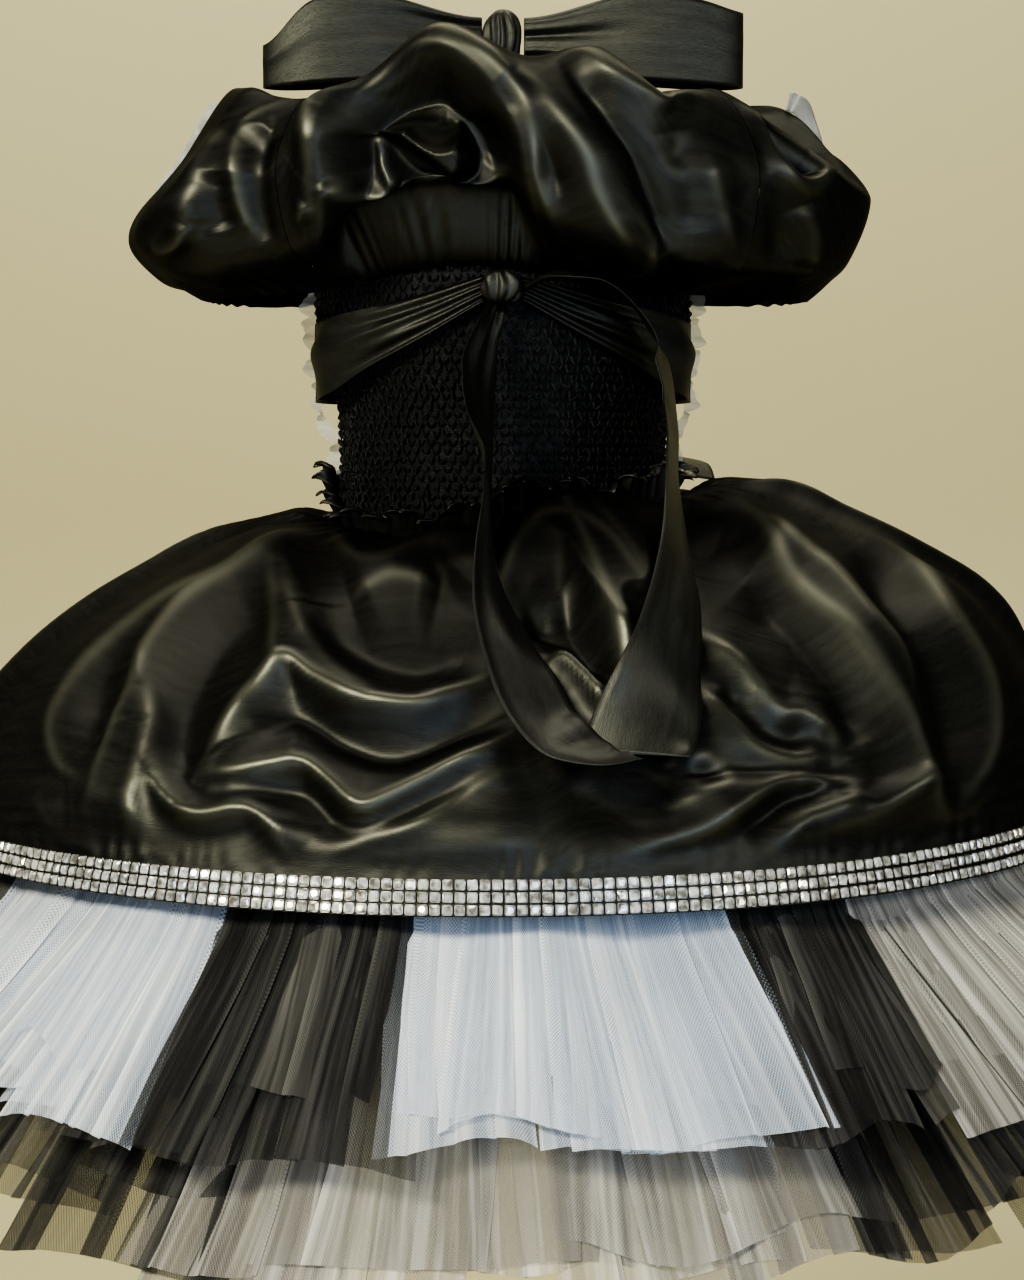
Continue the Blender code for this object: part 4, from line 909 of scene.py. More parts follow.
def net_group(name):
    """Even net: how much of a place the thread covers, with the gathers that run down the strip."""
    group, given, result = new_group(
        name, "ShaderNodeTree",
        [("Vector", VECTOR, None), ("Cell", FLOAT, 0.0013), ("Thread", FLOAT, 0.4),
         ("Gathers", FLOAT, 260.0)],
        [("Cover", FLOAT), ("Streak", FLOAT)],
    )
    parts = node(group, "ShaderNodeSeparateXYZ", {0: given.outputs["Vector"]}).outputs
    threads = []
    for sign in (1.0, -1.0):
        slanted = math_node(group, "MULTIPLY", parts[1], sign * 0.6)
        summed = math_node(group, "ADD", parts[0], slanted)
        cells = math_node(group, "FRACT", math_node(group, "DIVIDE", summed, given.outputs["Cell"]))
        centred = math_node(group, "ABSOLUTE", math_node(group, "SUBTRACT", cells, 0.5))
        half_thread = math_node(group, "MULTIPLY", given.outputs["Thread"], -0.5)
        edge = math_node(group, "SUBTRACT", math_node(group, "SUBTRACT", centred, half_thread), 0.5)
        threads.append(math_node(group, "MULTIPLY", edge, 12.0, clamp=True))
    across = math_node(group, "MULTIPLY", parts[0], given.outputs["Gathers"])
    down = math_node(group, "MULTIPLY", parts[1], 7.0)
    place = node(group, "ShaderNodeCombineXYZ", {0: across, 1: down}).outputs[0]
    fine = math_node(group, "MULTIPLY", noise(group, place, 1.0, 3.0), 0.75)
    bundles = math_node(group, "MULTIPLY", noise(group, place, 0.27, 1.0), 0.55)
    streak = math_node(group, "SUBTRACT", math_node(group, "ADD", bundles, fine), 0.15)
    feed(group, result, {"Cover": math_node(group, "MAXIMUM", *threads), "Streak": streak})
    return group


def yarn_group(name):
    """Twisted, slightly fuzzy yarn."""
    group, given, result = new_group(
        name, "ShaderNodeTree",
        [("Vector", VECTOR, None), ("Twist", FLOAT, 900.0)],
        [("Height", FLOAT), ("Tone", FLOAT)],
    )
    places, twist = given.outputs["Vector"], given.outputs["Twist"]
    feed(group, result, {"Height": noise(group, places, twist), "Tone": noise(group, places, 130.0)})
    return group


GROUPS = {"Satin weave": weave_group, "Tulle net": net_group, "Yarn": yarn_group}


def group_outputs(tree, name, inputs):
    """What one of the shared shader groups gives, placed in a material."""
    group = bpy.data.node_groups.get(name) or GROUPS[name](name)
    return node(tree, "ShaderNodeGroup", inputs, node_tree=group).outputs


def new_material(name, plain):
    """A material with its shader's uniform values, its node tree and its shader."""
    material = bpy.data.materials.new(name)
    material.use_nodes = True
    shader = material.node_tree.nodes["Principled BSDF"]
    feed(material.node_tree, shader, plain)
    return material, material.node_tree, shader


def satin_material(name, colour, roughness, weave_bump, painted_crest_colour=None, glossy=0.92, edge=0.3):
    """Woven satin or ribbon: threads that shine softly in their own colour, and a painted crest highlight."""
    material, tree, shader = new_material(name, {
        "Metallic": glossy, "Specular Tint": (edge, edge, edge, 1), "Specular IOR Level": 0.3,
        "Anisotropic": 0.4,
    })
    weave = group_outputs(tree, "Satin weave", {"Vector": cloth_places(tree)})
    dark = (*(part * 0.55 for part in colour), 1)
    light = (*(part * 1.7 for part in colour), 1)
    threads = mixed(tree, weave["Streak"], dark, light)
    # Painted highlight: where the crest map is marked, the colour is lifted towards the crest colour
    if painted_crest_colour is not None:
        threads = mixed(tree, point_mark(tree, "crest"), threads, (*painted_crest_colour, 1))
    rough = between(tree, weave["Streak"], roughness - 0.07, roughness + 0.13)
    feed(tree, shader, {"Base Color": threads, "Roughness": rough})
    bumped(tree, shader, weave["Height"], weave_bump)
    return material


def tulle_material(name, colour, painted_shade_colour, cover_low, cover_high):
    """Net whose strips gather into fine lines, more see-through between them and towards the hem."""
    material, tree, shader = new_material(name, {"Roughness": 0.8, "Specular IOR Level": 0.25})
    net = group_outputs(tree, "Tulle net", {"Vector": cloth_places(tree)})
    fold, tone, hem = (point_mark(tree, key) for key in ("fold", "tone", "hem"))
    # Painted light and shade: the colour runs from the painted shade colour between the gathers to the net's
    # own colour on the gathered lines and folds; where the net lies double at the folds it is also denser
    lines = math_node(tree, "MULTIPLY", between(tree, net["Streak"], 0, 1, 0.34, 0.7), 0.75)
    light = math_node(tree, "ADD", lines, math_node(tree, "MULTIPLY", fold, 0.45))
    light = math_node(tree, "ADD", light, tone, clamp=True)
    streak = between(tree, net["Streak"], 0, 1, 0.3, 0.7)
    solid = between(tree, streak, cover_low, cover_high)
    covered = math_node(tree, "MULTIPLY", net["Cover"], math_node(tree, "SUBTRACT", 1.0, solid))
    cover = math_node(tree, "ADD", solid, covered)
    cover = math_node(tree, "ADD", cover, math_node(tree, "MULTIPLY", fold, 0.22), clamp=True)
    thinner = math_node(tree, "SUBTRACT", 1.0, math_node(tree, "MULTIPLY", hem, 0.3))
    feed(tree, shader, {
        "Base Color": mixed(tree, light, (*painted_shade_colour, 1), (*colour, 1)),
        "Alpha": math_node(tree, "MULTIPLY", cover, thinner),
    })
    return material


def organza_material(name):
    """Sheer crisp white organza."""
    material, tree, shader = new_material(
        name, {"Roughness": 0.42, "Specular IOR Level": 0.5, "Sheen Weight": 0.4}
    )
    places = cloth_places(tree)
    weave = group_outputs(tree, "Satin weave", {"Vector": places, "Threads": 900.0, "Float length": 2.0})
    edge = node(tree, "ShaderNodeLayerWeight", {"Blend": 0.35}).outputs["Facing"]
    feed(tree, shader, {
        "Base Color": mixed(tree, weave["Streak"], (0.62, 0.64, 0.66, 1), (0.95, 0.96, 0.98, 1)),
        "Alpha": between(tree, edge, 0.42, 0.95),
    })
    bumped(tree, shader, weave["Height"], 0.00008)
    return material


def crochet_material(name):
    """Matte black stretch yarn."""
    material, tree, shader = new_material(
        name, {"Specular IOR Level": 0.3, "Sheen Weight": 0.12, "Sheen Roughness": 0.5}
    )
    yarn = group_outputs(tree, "Yarn", {"Vector": own_places(tree)})
    feed(tree, shader, {
        "Base Color": mixed(tree, yarn["Tone"], (0.0010, 0.0010, 0.0010, 1), (0.009, 0.009, 0.0092, 1)),
        "Roughness": between(tree, yarn["Tone"], 0.95, 0.25),
    })
    bumped(tree, shader, yarn["Height"], 0.0004)
    return material


def stone_material(name):
    """Clear square stones on a foil back."""
    material, tree, shader = new_material(
        name, {"Metallic": 0.35, "Specular IOR Level": 0.9, "Coat Weight": 1.0, "Coat Roughness": 0.03}
    )
    tone = noise(tree, own_places(tree), 210.0)
    spread = between(tree, tone, 0, 1, 0.34, 0.62)
    feed(tree, shader, {
        "Base Color": mixed(tree, spread, (0.26, 0.24, 0.20, 1), (1.0, 0.99, 0.95, 1)),
        "Roughness": between(tree, tone, 0.05, 0.3),
    })
    return material


def setting_material(name):
    """Silvery plastic settings and the thread between them."""
    material, tree, shader = new_material(name, {"Metallic": 0.9})
    tone = noise(tree, own_places(tree), 120.0)
    feed(tree, shader, {
        "Base Color": mixed(tree, tone, (0.16, 0.15, 0.14, 1), (0.46, 0.45, 0.43, 1)),
        "Roughness": between(tree, tone, 0.25, 0.5),
    })
    return material


def backdrop_material(name):
    """The pale paper of floor and backdrop, seen through from behind."""
    pale = settings().backdrop_colour
    material, tree, shader = new_material(name, {"Specular IOR Level": 0.1, "Roughness": 0.9})
    tone = noise(tree, own_places(tree), 1.5, 3.0)
    behind = node(tree, "ShaderNodeNewGeometry").outputs["Backfacing"]
    feed(tree, shader, {
        "Base Color": mixed(tree, tone, (*(part * 0.94 for part in pale), 1), (*pale, 1)),
        "Alpha": math_node(tree, "SUBTRACT", 1.0, behind),
    })
    return material


# Colour, painted shade colour between the folds, and how much the net covers between its gathers and on them
TULLES = {
    "White tulle": ((1.0, 1.0, 1.0), (0.56, 0.63, 0.74), 0.14, 0.75),
    "Black tulle": ((0.175, 0.165, 0.150), (0.020, 0.019, 0.018), 0.26, 0.80),
    "Grey tulle": ((0.86, 0.81, 0.74), (0.30, 0.275, 0.245), 0.26, 0.80),
}
OTHER_MATERIALS = {
    "White organza": organza_material,
    "Black crochet": crochet_material,
    "Clear stones": stone_material,
    "Silver settings": setting_material,
    "Pale backdrop": backdrop_material,
}


def material_called(name):
    """One of the materials, made when it is first asked for."""
    if name in bpy.data.materials:
        return bpy.data.materials[name]
    chosen = settings()
    satins = {
        "Black satin": (chosen.satin_colour, chosen.satin_roughness, 0.00006, chosen.painted_crest_colour),
        "Black ribbon": (chosen.ribbon_colour, 0.5, 0.00018, None, 0.92, 1.0),
        "White ribbon": ((0.62, 0.62, 0.60), 0.4, 0.0001, None, 0.0, 1.0),
    }
    if name in satins:
        return satin_material(name, *satins[name])
    if name in TULLES:
        return tulle_material(name, *TULLES[name])
    return OTHER_MATERIALS[name](name)


# Pieces


def make_overskirt():
    """Gathered black satin overskirt, from its seam on the bodice to its hem."""
    side = SKIRT_BACK_TURN
    back = np.linspace(-side, side, round(2 * side / SKIRT_BACK_STEP), endpoint=False)
    front = np.linspace(side, 360 - side, round((360 - 2 * side) / SKIRT_FRONT_STEP), endpoint=False)
    turns = np.concatenate([back, front])
    lengths = np.linspace(0, 1, SKIRT_ROWS) ** 0.97 * SKIRT_LENGTH
    face, shine = skirt_surface(turns, lengths)
    seam = bodice_point(turns, waist_height(turns), SEAM_GAP)
    points, shine = np.concatenate([seam[None], face]), np.concatenate([shine[:1], shine])
    # The crest map becomes a painted highlight in the satin's colour
    piece = add_sheet("satin_overskirt", points, ring=True, marks={"crest": shine})
    finish_piece(piece, "black_satin", ["overskirt"], SKIRT_CUT)


def make_header():
    """Gathered frill that stands above the overskirt's channel, its edge curled outwards in uneven loops."""
    count = HEADER_GATHERS * HEADER_GATHER_POINTS
    turns = np.arange(count) * 360.0 / count - 180.0
    angle = np.radians(turns)
    phase = angle * HEADER_GATHERS + 1.6 * np.sin(angle * 6) + 1.1 * np.sin(angle * 13 + 1)
    wave = (0.5 + 0.5 * np.sin(phase)) ** 1.3
    uneven = 0.72 + 0.2 * np.sin(angle * 5 + 1) + 0.16 * np.sin(angle * 11)
    foot = waist_height(turns) + SEAM_GAP + 0.5
    tall = HEADER_TALL * (0.86 + 0.16 * np.sin(angle * 7 + 0.5) + 0.12 * np.sin(angle * 19))
    rows, shine = [], []
    rolled = (0.9 + 3.0 * wave) * uneven
    for share in np.linspace(1, 0, HEADER_ROWS):
        rises = min(share / HEADER_LIP, 1.0)
        bend = max(share - HEADER_LIP, 0.0) / HEADER_LIP * HEADER_CURL
        flare = rises * (3.0 + HEADER_FLARE * wave * uneven)
        out = SEAM_GAP + RIBBON_WALL + 0.2 + flare + rolled * (1 - math.cos(bend))
        swing = 2.1 * share * np.sin(phase * 2 + 0.6) * (0.6 + 0.4 * np.sin(angle * 8))
        up = foot + tall * 0.78 * rises + rolled * math.sin(bend) + 1.2 * share * np.sin(phase * 2 + 2.2)
        rows.append(bodice_point(turns + swing, up, out))
        # Painted highlight, strongest partway round the curled lip and on the wider gathers, faint elsewhere
        shine.append((0.25 + 0.75 * math.exp(-(((bend - 1.2) / 0.8) ** 2))) * (0.5 + 0.5 * wave))
    piece = add_sheet("header_frill_cloth", np.array(rows), ring=True, wall=SATIN_THICK,
                      marks={"crest": np.array(shine)})
    finish_piece(piece, "black_satin", ["header_frill"], HEADER_CUT)


def set_on_cloth_tree(name):
    """Geometry Nodes that set a small piece on each point of a carrier, turned by its directions."""
    tree, given, result = new_group(
        name, "GeometryNodeTree",
        [("Carrier", "NodeSocketGeometry", None), ("Small piece", "NodeSocketObject", None),
         ("Material", "NodeSocketMaterial", None), ("Size", FLOAT, 1.0), ("Uneven", FLOAT, 0.05),
         ("Tilt", FLOAT, 0.05), ("Seed", "NodeSocketInt", 3)],
        [("Carrier", "NodeSocketGeometry")],
    )
    given = given.outputs
    small = node(tree, "GeometryNodeObjectInfo", {"Object": given["Small piece"]})
    out = node(tree, "GeometryNodeInputNamedAttribute", {"Name": "out_way"}, data_type="FLOAT_VECTOR")
    up = node(tree, "GeometryNodeInputNamedAttribute", {"Name": "up_way"}, data_type="FLOAT_VECTOR")
    turned = node(tree, "FunctionNodeAlignRotationToVector", {"Vector": out.outputs[0]}, axis="Z")
    turned = node(tree, "FunctionNodeAlignRotationToVector",
                  {"Rotation": turned.outputs[0], "Vector": up.outputs[0]}, axis="Y", pivot_axis="Z")
    tilt = node(tree, "FunctionNodeRandomValue", {
        0: math_node(tree, "MULTIPLY", given["Tilt"], -1.0), 1: given["Tilt"], "Seed": given["Seed"],
    }, data_type="FLOAT_VECTOR")
    tilted = node(tree, "FunctionNodeEulerToRotation", {0: tilt.outputs[0]})
    rotation = node(tree, "FunctionNodeRotateRotation", {0: turned.outputs[0], 1: tilted.outputs[0]},
                    rotation_space="LOCAL")
    size = node(tree, "FunctionNodeRandomValue", {
        2: math_node(tree, "SUBTRACT", given["Size"], given["Uneven"]),
        3: math_node(tree, "ADD", given["Size"], given["Uneven"]), "Seed": given["Seed"],
    }, data_type="FLOAT")
    placed = node(tree, "GeometryNodeInstanceOnPoints", {
        "Points": given["Carrier"], "Instance": small.outputs["Geometry"],
        "Rotation": rotation.outputs[0], "Scale": size.outputs[1],
    })
    real = node(tree, "GeometryNodeRealizeInstances", {"Geometry": placed.outputs[0]})
    painted = node(tree, "GeometryNodeSetMaterial",
                   {"Geometry": real.outputs[0], "Material": given["Material"]})
    feed(tree, result, {0: painted.outputs[0]})
    return tree


def set_on_cloth(name, places, out_ways, up_ways, small, material, uneven, tilt, seed):
    """Sets copies of a small piece on the cloth and returns them as one plain mesh."""
    mesh = bpy.data.meshes.new(name)
    mesh.vertices.add(len(places))
    mesh.vertices.foreach_set("co", (places * MM).astype(np.float32).ravel())
    for key, ways in (("out_way", out_ways), ("up_way", up_ways)):
        mark = mesh.attributes.new(key, "FLOAT_VECTOR", "POINT")
        mark.data.foreach_set("vector", ways.astype(np.float32).ravel())
    carrier = add_mesh(name, mesh)
    tree = bpy.data.node_groups.get("Set on cloth") or set_on_cloth_tree("Set on cloth")
    modifier = carrier.modifiers.new("Set on cloth", "NODES")
    modifier.node_group = tree
    values = {
        "Small piece": small, "Material": material_called(material), "Size": 1.0, "Uneven": uneven,
        "Tilt": tilt, "Seed": seed,
    }
    for item in tree.interface.items_tree:
        if item.in_out == "INPUT" and item.name in values:
            modifier[item.identifier] = values[item.name]
    bpy.context.view_layer.update()
    plain = plain_mesh(carrier)
    plain.name = name
    made = add_mesh(name + "_set", plain)
    bpy.data.objects.remove(carrier)
    bpy.data.objects.remove(small)
    made.name = name
    return made


def faced_outwards(mesh, joined_within=None):
    """Turns a mesh's faces outwards, after closing its poles where points are to be joined."""
    shape = bmesh.new()
    shape.from_mesh(mesh)
    if joined_within is not None:
        bmesh.ops.remove_doubles(shape, verts=shape.verts, dist=joined_within)
        bmesh.ops.holes_fill(shape, edges=[edge for edge in shape.edges if edge.is_boundary])
    bmesh.ops.recalc_face_normals(shape, faces=shape.faces)
    shape.to_mesh(mesh)
    shape.free()


def small_mesh(name, points, faces, smooth_shaded=False):
    """A small piece to be set on the cloth, in metres."""
    mesh = bpy.data.meshes.new(name)
    mesh.from_pydata([tuple(value * MM for value in point) for point in points], [], faces)
    faced_outwards(mesh)
    if smooth_shaded:
        mesh.shade_smooth()
    return add_mesh(name, mesh)


def cut_square(half, table, girdle, crown, foot):
    """A square stone with cut corners: its table, girdle and foot, one ring of eight points each."""
    points = []
    for size, height, corner in ((table, crown, 0.45), (half, girdle, 0.25), (half * 0.92, foot, 0.25)):
        cut = size * (1 - corner)
        for x, y in ((size, -cut), (size, cut), (cut, size), (-cut, size), (-size, cut), (-size, -cut),
                     (-cut, -size), (cut, -size)):
            points.append((x, y, height))
    faces = [tuple(range(8))]
    for ring in range(2):
        for side in range(8):
            beside = (side + 1) % 8
            faces.append((ring * 8 + side, ring * 8 + beside, ring * 8 + 8 + beside, ring * 8 + 8 + side))
    return points, faces


def make_stones():
    """Three rows of square stones in silver settings, laid along the overskirt's hem."""
    chosen = settings()
    turns = np.linspace(-180, 180, 1441)[:-1]
    face, _ = skirt_surface(turns, np.linspace(SKIRT_LENGTH - TRIM_WIDTH, SKIRT_LENGTH, 7))
    normal = grid_normals(face, True) * outward_sign(face, True)
    tape = face[[0, 2, 4, 6]] + normal[[0, 2, 4, 6]] * (SEAM_GAP + TAPE_RISE)
    tape_piece = add_sheet("stone_tape", tape, ring=True)
    lengths = reached(np.linalg.norm(np.roll(face, -1, axis=1) - face, axis=-1)[3])
    count = round(lengths[-1] / (chosen.stone_pitch / MM))
    at = np.arange(count) * lengths[-1] / count
    places, outs, ups = [], [], []
    closed = np.concatenate([face, face[:, :1]], 1)
    closed_normal = np.concatenate([normal, normal[:, :1]], 1)
    for row in (np.arange(chosen.stone_rows) + 0.5) / chosen.stone_rows * 6:
        first, part = int(row), row - int(row)
        line = closed[first] * (1 - part) + closed[min(first + 1, 6)] * part
        out = closed_normal[first]
        line, out, top = (
            np.stack([np.interp(at, lengths, values[:, axis]) for axis in range(3)], -1)
            for values in (line, out, closed[0] - closed[6])
        )
        places.append(line + out * (SEAM_GAP + STONE_RISE))
        outs.append(out)
        ups.append(unit(top))
    places, outs, ups = (np.concatenate(values) for values in (places, outs, ups))
    half = chosen.stone_size / MM / 2
    stone = small_mesh("stone", *cut_square(half, table=half * 0.62, girdle=1.25, crown=2.0, foot=0.3))
    stones = set_on_cloth("stones", places, outs, ups, stone, "Clear stones",
                          uneven=0.05, tilt=0.16, seed=5)
    rim = half * 1.16
    cup = small_mesh("setting", *cut_square(rim, table=rim * 0.97, girdle=0.75, crown=0.95, foot=0.0))
    cups = set_on_cloth("settings", places, outs, ups, cup, "Silver settings",
                        uneven=0.0, tilt=0.02, seed=6)
    for extra in (stones, cups):
        finish_extra(extra, ["stone_trim"])
    finish_piece(tape_piece, "clear_stones", ["stone_trim"], (SKIRT_CUT[0], TRIM_WIDTH),
                 material="Black satin")


def pleat_columns(pleats, rng):
    """Cross-section of a pleated strip: places across and depths at its knot and at its cut end."""
    top, hem, depth, fold = [], [], [], []
    at_top, at_hem = 0.0, 0.0
    for _ in range(pleats):
        wide_top, wide_hem = rng.uniform(0.4, 1.6), rng.uniform(0.35, 2.2)
        back_top, back_hem = rng.uniform(0.15, 0.42), rng.uniform(0.02, 0.30)
        for share, down in ((0, -1.0), (0.22, -0.55), (0.55, 0.0), (0.82, 0.25), (0.96, 0.2), (1.0, 0.0)):
            top.append(at_top + wide_top * share)
            hem.append(at_hem + wide_hem * share)
            depth.append(down)
            fold.append(max(0.0, share - 0.9) * 10)
        at_top += wide_top - back_top
        at_hem += wide_hem - back_hem
        top.append(at_top + 0.5 * back_top)
        hem.append(at_hem + 0.5 * back_hem)
        depth.append(-0.55)
        fold.append(0.6)
    top, hem = (np.array(values) / max(values) - 0.5 for values in (top, hem))
    return top, hem, np.array(depth), np.array(fold)


def tulle_strip(centre, span, layer, root_drop, lift, longer, rng):
    """One strip of net, pleated down its length, from its knot to its cut end.

    Its last two results are the marks of its folds and its thin hem, and two directions at each point:
    out of the layer, and out of the pleat.
    """
    top, hem, depth, fold = pleat_columns(rng.integers(3, 6), rng)
    if rng.random() < 0.5:
        top, hem = -top, -hem
    across, rows = len(top), 14
    lengths = reached(np.hypot(np.diff(layer["radius"]), np.diff(layer["height"])))
    down = np.linspace(0, 1, rows)[:, None] * lengths[-1]
    part = down / lengths[-1]
    opened = ramp(part, 0.1, 1.0)
    slip = 0.05 * np.sin(part * rng.uniform(3, 6) + rng.uniform(0, 6.28) + np.arange(across) * 0.9)
    side = top * (1 - opened) + hem * opened + slip * part
    spread = span * (0.66 + 0.34 * ramp(part, 0, 0.85))
    turn = centre + side * spread + rng.uniform(-3.5, 3.5) * part**1.5
    reach, radius, height = curves(down, lengths, layer, "wave", "radius", "height")
    droop = rng.uniform(-0.02, 0.02) * np.sin(side * 5 + rng.uniform(0, 6.28))
    own_length = 1 + (longer + droop) * ramp(down, lengths[-1] * 0.5, lengths[-1])
    radius, height = radius * own_length, height * own_length
    slope = unit(np.stack([np.gradient(radius, axis=0), np.gradient(height, axis=0)], -1))
    wave = np.sin(np.radians(turn) * 17 + 1.4 * np.sin(np.radians(turn) * 5)) * 0.45
    edge = -0.35 * ramp(np.abs(side), 0.36, 0.5)
    layered = depth * rng.uniform(0.7, 1.7) * (0.5 + 0.5 * part)
    rise = reach * (wave + edge + 0.32 * lift) + layered
    radius, height = radius - slope[..., 1] * rise, height + slope[..., 0] * rise
    angle = np.radians(turn)
    body = np.stack([radius * np.sin(angle), -radius * np.cos(angle), height], -1)
    root = bodice_point(turn[0], waist_height(turn[0]) - root_drop, SEAM_GAP + 0.4)
    points = np.concatenate([root[None], body])
    even = np.stack([-slope[..., 1] * np.sin(angle), slope[..., 1] * np.cos(angle)], -1)
    even = lifted(even, slope[..., 0])
    ways = np.concatenate([even, grid_normals(body)], -1)
    ways = np.concatenate([ways[:1], ways])
    developed = reached(np.linalg.norm(np.diff(body[-1], axis=0), axis=-1))
    uv = np.stack([
        np.broadcast_to(developed, points.shape[:2]),
        np.broadcast_to(np.concatenate([[-30.0], down[:, 0]])[:, None], points.shape[:2]),
    ], -1)
    selvedge = 0.9 * ramp(np.abs(top), 0.46, 0.5)
    fold = np.maximum(fold * (0.35 + 0.65 * part), selvedge)
    hem = ramp(part, rng.uniform(0.6, 0.85), 1.0) * np.ones(across)
    marks = np.stack([np.concatenate([mark[:1], mark]) for mark in (fold, hem)], -1)
    return points, uv, marks, ways


def net_normals(points, faces, ways):
    """Shading directions at the corners of net, whose round threads light almost alike all over a pleat."""
    corners = points[faces]
    face_way = np.cross(corners[:, 2] - corners[:, 0], corners[:, 3] - corners[:, 1])[:, None]
    even, pleated = ways[faces][..., :3], ways[faces][..., 3:]
    even = even * np.where((even.mean(1, keepdims=True) * face_way).sum(-1) < 0, -1, 1)[..., None]
    pleated = pleated * np.where((pleated * face_way).sum(-1) < 0, -1, 1)[..., None]
    return unit(even + PLEAT_SHADING * pleated).reshape(-1, 3)


def make_tulle_block(name, start, end, layer, root_drop, per_strip, seed, painted_shade):
    """One block of knotted strips of one colour."""
    rng = np.random.default_rng(seed)
    knots = max(2, round((end - start) / per_strip))
    step = (end - start) / knots
    points, faces, uvs, marks, tones, ways = [], [], [], [], [], []
    first = 0
    for index in range(knots):
        for fall in range(2):
            centre = start + step * (index + 0.5) + rng.uniform(-0.12, 0.12) * step
            span = step * rng.uniform(1.3, 1.9)
            lift = (-1.0, 0.1)[fall] + 0.9 * (index % 2) + rng.uniform(-0.2, 0.2)
            longer = rng.uniform(-0.08, 0.02) if fall else rng.uniform(-0.045, 0.035)
            strip, uv, strip_marks, both_ways = tulle_strip(centre, span, layer, root_drop, lift, longer, rng)
            rows, count = strip.shape[:2]
            points.append(strip.reshape(-1, 3))
            faces.append(grid_faces(rows, count, False, first)[:, ::-1])
            uvs.append(corners_of(uv + rng.uniform(0, 40, 2))[:, ::-1])
            marks.append(strip_marks.reshape(-1, 2))
            ways.append(both_ways.reshape(-1, 6))
            # Each strip's tone differs at random, and is lowered by the block's painted shade
            tones.append(np.full(rows * count, rng.uniform(-0.3, 0.15) - painted_shade))
            first += rows * count
    folds, hems = np.concatenate(marks).T
    marks = {"fold": folds, "hem": hems, "tone": np.concatenate(tones)}
    points, faces, uvs, ways = (np.concatenate(values) for values in (points, faces, uvs, ways))
    mesh = build_mesh(name, points, faces, uvs, marks)
    mesh.normals_split_custom_set(net_normals(points, faces, ways))
    return add_mesh(name, mesh)


def make_tulle():
    # The last value of each layer is its painted shade: the lower layer is darkened as if shaded by the upper
    # one
    """Two layers of knotted tulle strips, in blocks of one colour."""
    layers = {
        "upper": (TULLE_BLOCKS, (UPPER_TULLE, UPPER_ROOT_DROP, 6.2), 100, 0.0),
        "lower": (LOWER_BLOCKS, (LOWER_TULLE, LOWER_ROOT_DROP, 8.0), 300, 0.2),
    }
    for layer_name, (blocks, layer, seed, painted_shade) in layers.items():
        for index, (colour, start, end) in enumerate(blocks, 1):
            title = f"{layer_name}_{index:02d}_{colour}"
            piece = make_tulle_block("net_" + title, start, end, *layer, seed + index, painted_shade)
            width, length = cut_by_area(measured(piece), TULLE_CUT_LENGTH)
            finish_piece(piece, colour + "_tulle", ["tulle_" + title], (width * TULLE_SPARE, length))


def crochet_loop():
    """A V of two plump strands of yarn, pointing down."""
    points, faces = [], []
    for side in (-1, 1):
        first = len(points)
        for across, up, out, size in LOOP_STATIONS:
            for corner in range(4):
                angle = math.pi / 4 + corner * math.pi / 2
                swing, rise = size * math.cos(angle), size * math.sin(angle)
                points.append((side * (across + 0.75 * swing), up + 0.35 * rise, out + 0.8 * rise))
        for row in range(3):
            for corner in range(4):
                beside = (corner + 1) % 4
                a, b = first + row * 4 + corner, first + row * 4 + beside
                faces.append((a, b, b + 4, a + 4))
    return points, faces


def make_bodice():
    """Stretch crochet tube: rows of staggered loops on a thin knitted ground."""
    pitch, row_pitch = settings().crochet_width / MM, settings().crochet_height / MM
    turns = np.arange(GROUND_COLUMNS) * 360.0 / GROUND_COLUMNS - 180
    heights = np.linspace(BODICE_TOP - 1.5, BODICE_FOOT + 1.5, GROUND_ROWS)
    ground = add_sheet("crochet_ground", np.array([
        bodice_point(turns, height, -GROUND_SUNK) for height in heights
    ]), ring=True)
    round_length = 2 * math.pi * math.hypot(CHEST_HALF_WIDTH, CHEST_HALF_DEPTH) / math.sqrt(2)
    count = round(round_length / pitch)
    rows = int((BODICE_TOP - BODICE_FOOT - 4) / row_pitch)
    places, out_ways, up_ways = [], [], []
    for row in range(rows):
        height = BODICE_TOP - 3 - row_pitch * (row + 0.5)
        at = (np.arange(count) + 0.5 * (row % 2)) * 360.0 / count
        here, above = (bodice_point(at, up, -LOOPS_SUNK) for up in (height, height + 1.0))
        _, away = oval(CHEST_HALF_WIDTH, CHEST_HALF_DEPTH, at)
        places.append(here)
        out_ways.append(lifted(away, 0.0))
        up_ways.append(above - here)
    loop = small_mesh("crochet_loop", *crochet_loop(), smooth_shaded=True)
    places, out_ways, up_ways = (np.concatenate(values) for values in (places, out_ways, up_ways))
    loops = set_on_cloth("crochet_loops", places, out_ways, up_ways, loop, "Black crochet",
                         uneven=0.2, tilt=0.42, seed=11)
    finish_extra(loops, ["bodice"])
    finish_piece(ground, "black_crochet", ["bodice"], BODICE_CUT)


def flounce_section(turn):
    """Lengths along one section of the flounce, and its distance out and height at each."""
    at = wrapped(turn)
    value = {name: smooth(at, FLOUNCE["turn"], FLOUNCE[name]) for name in FLOUNCE if name != "turn"}
    side_out = value["neck_out"] + 0.22 * (value["crest_out"] - value["neck_out"])
    side_up = value["neck_up"] + 0.62 * (value["crest_up"] - value["neck_up"])
    sections = []
    for way, side in (("out", side_out), ("up", side_up)):
        crest, far = value["crest_" + way], value["far_" + way]
        swell = 0.5 + (0.207 if way == "out" else -0.207) * value["round"]
        shoulder = crest + (far - crest) * swell
        lower = [value["low_" + way], value["hem_" + way]]
        sections.append(np.stack([value["neck_" + way], side, crest, shoulder, far, *lower], -1))
    return sections


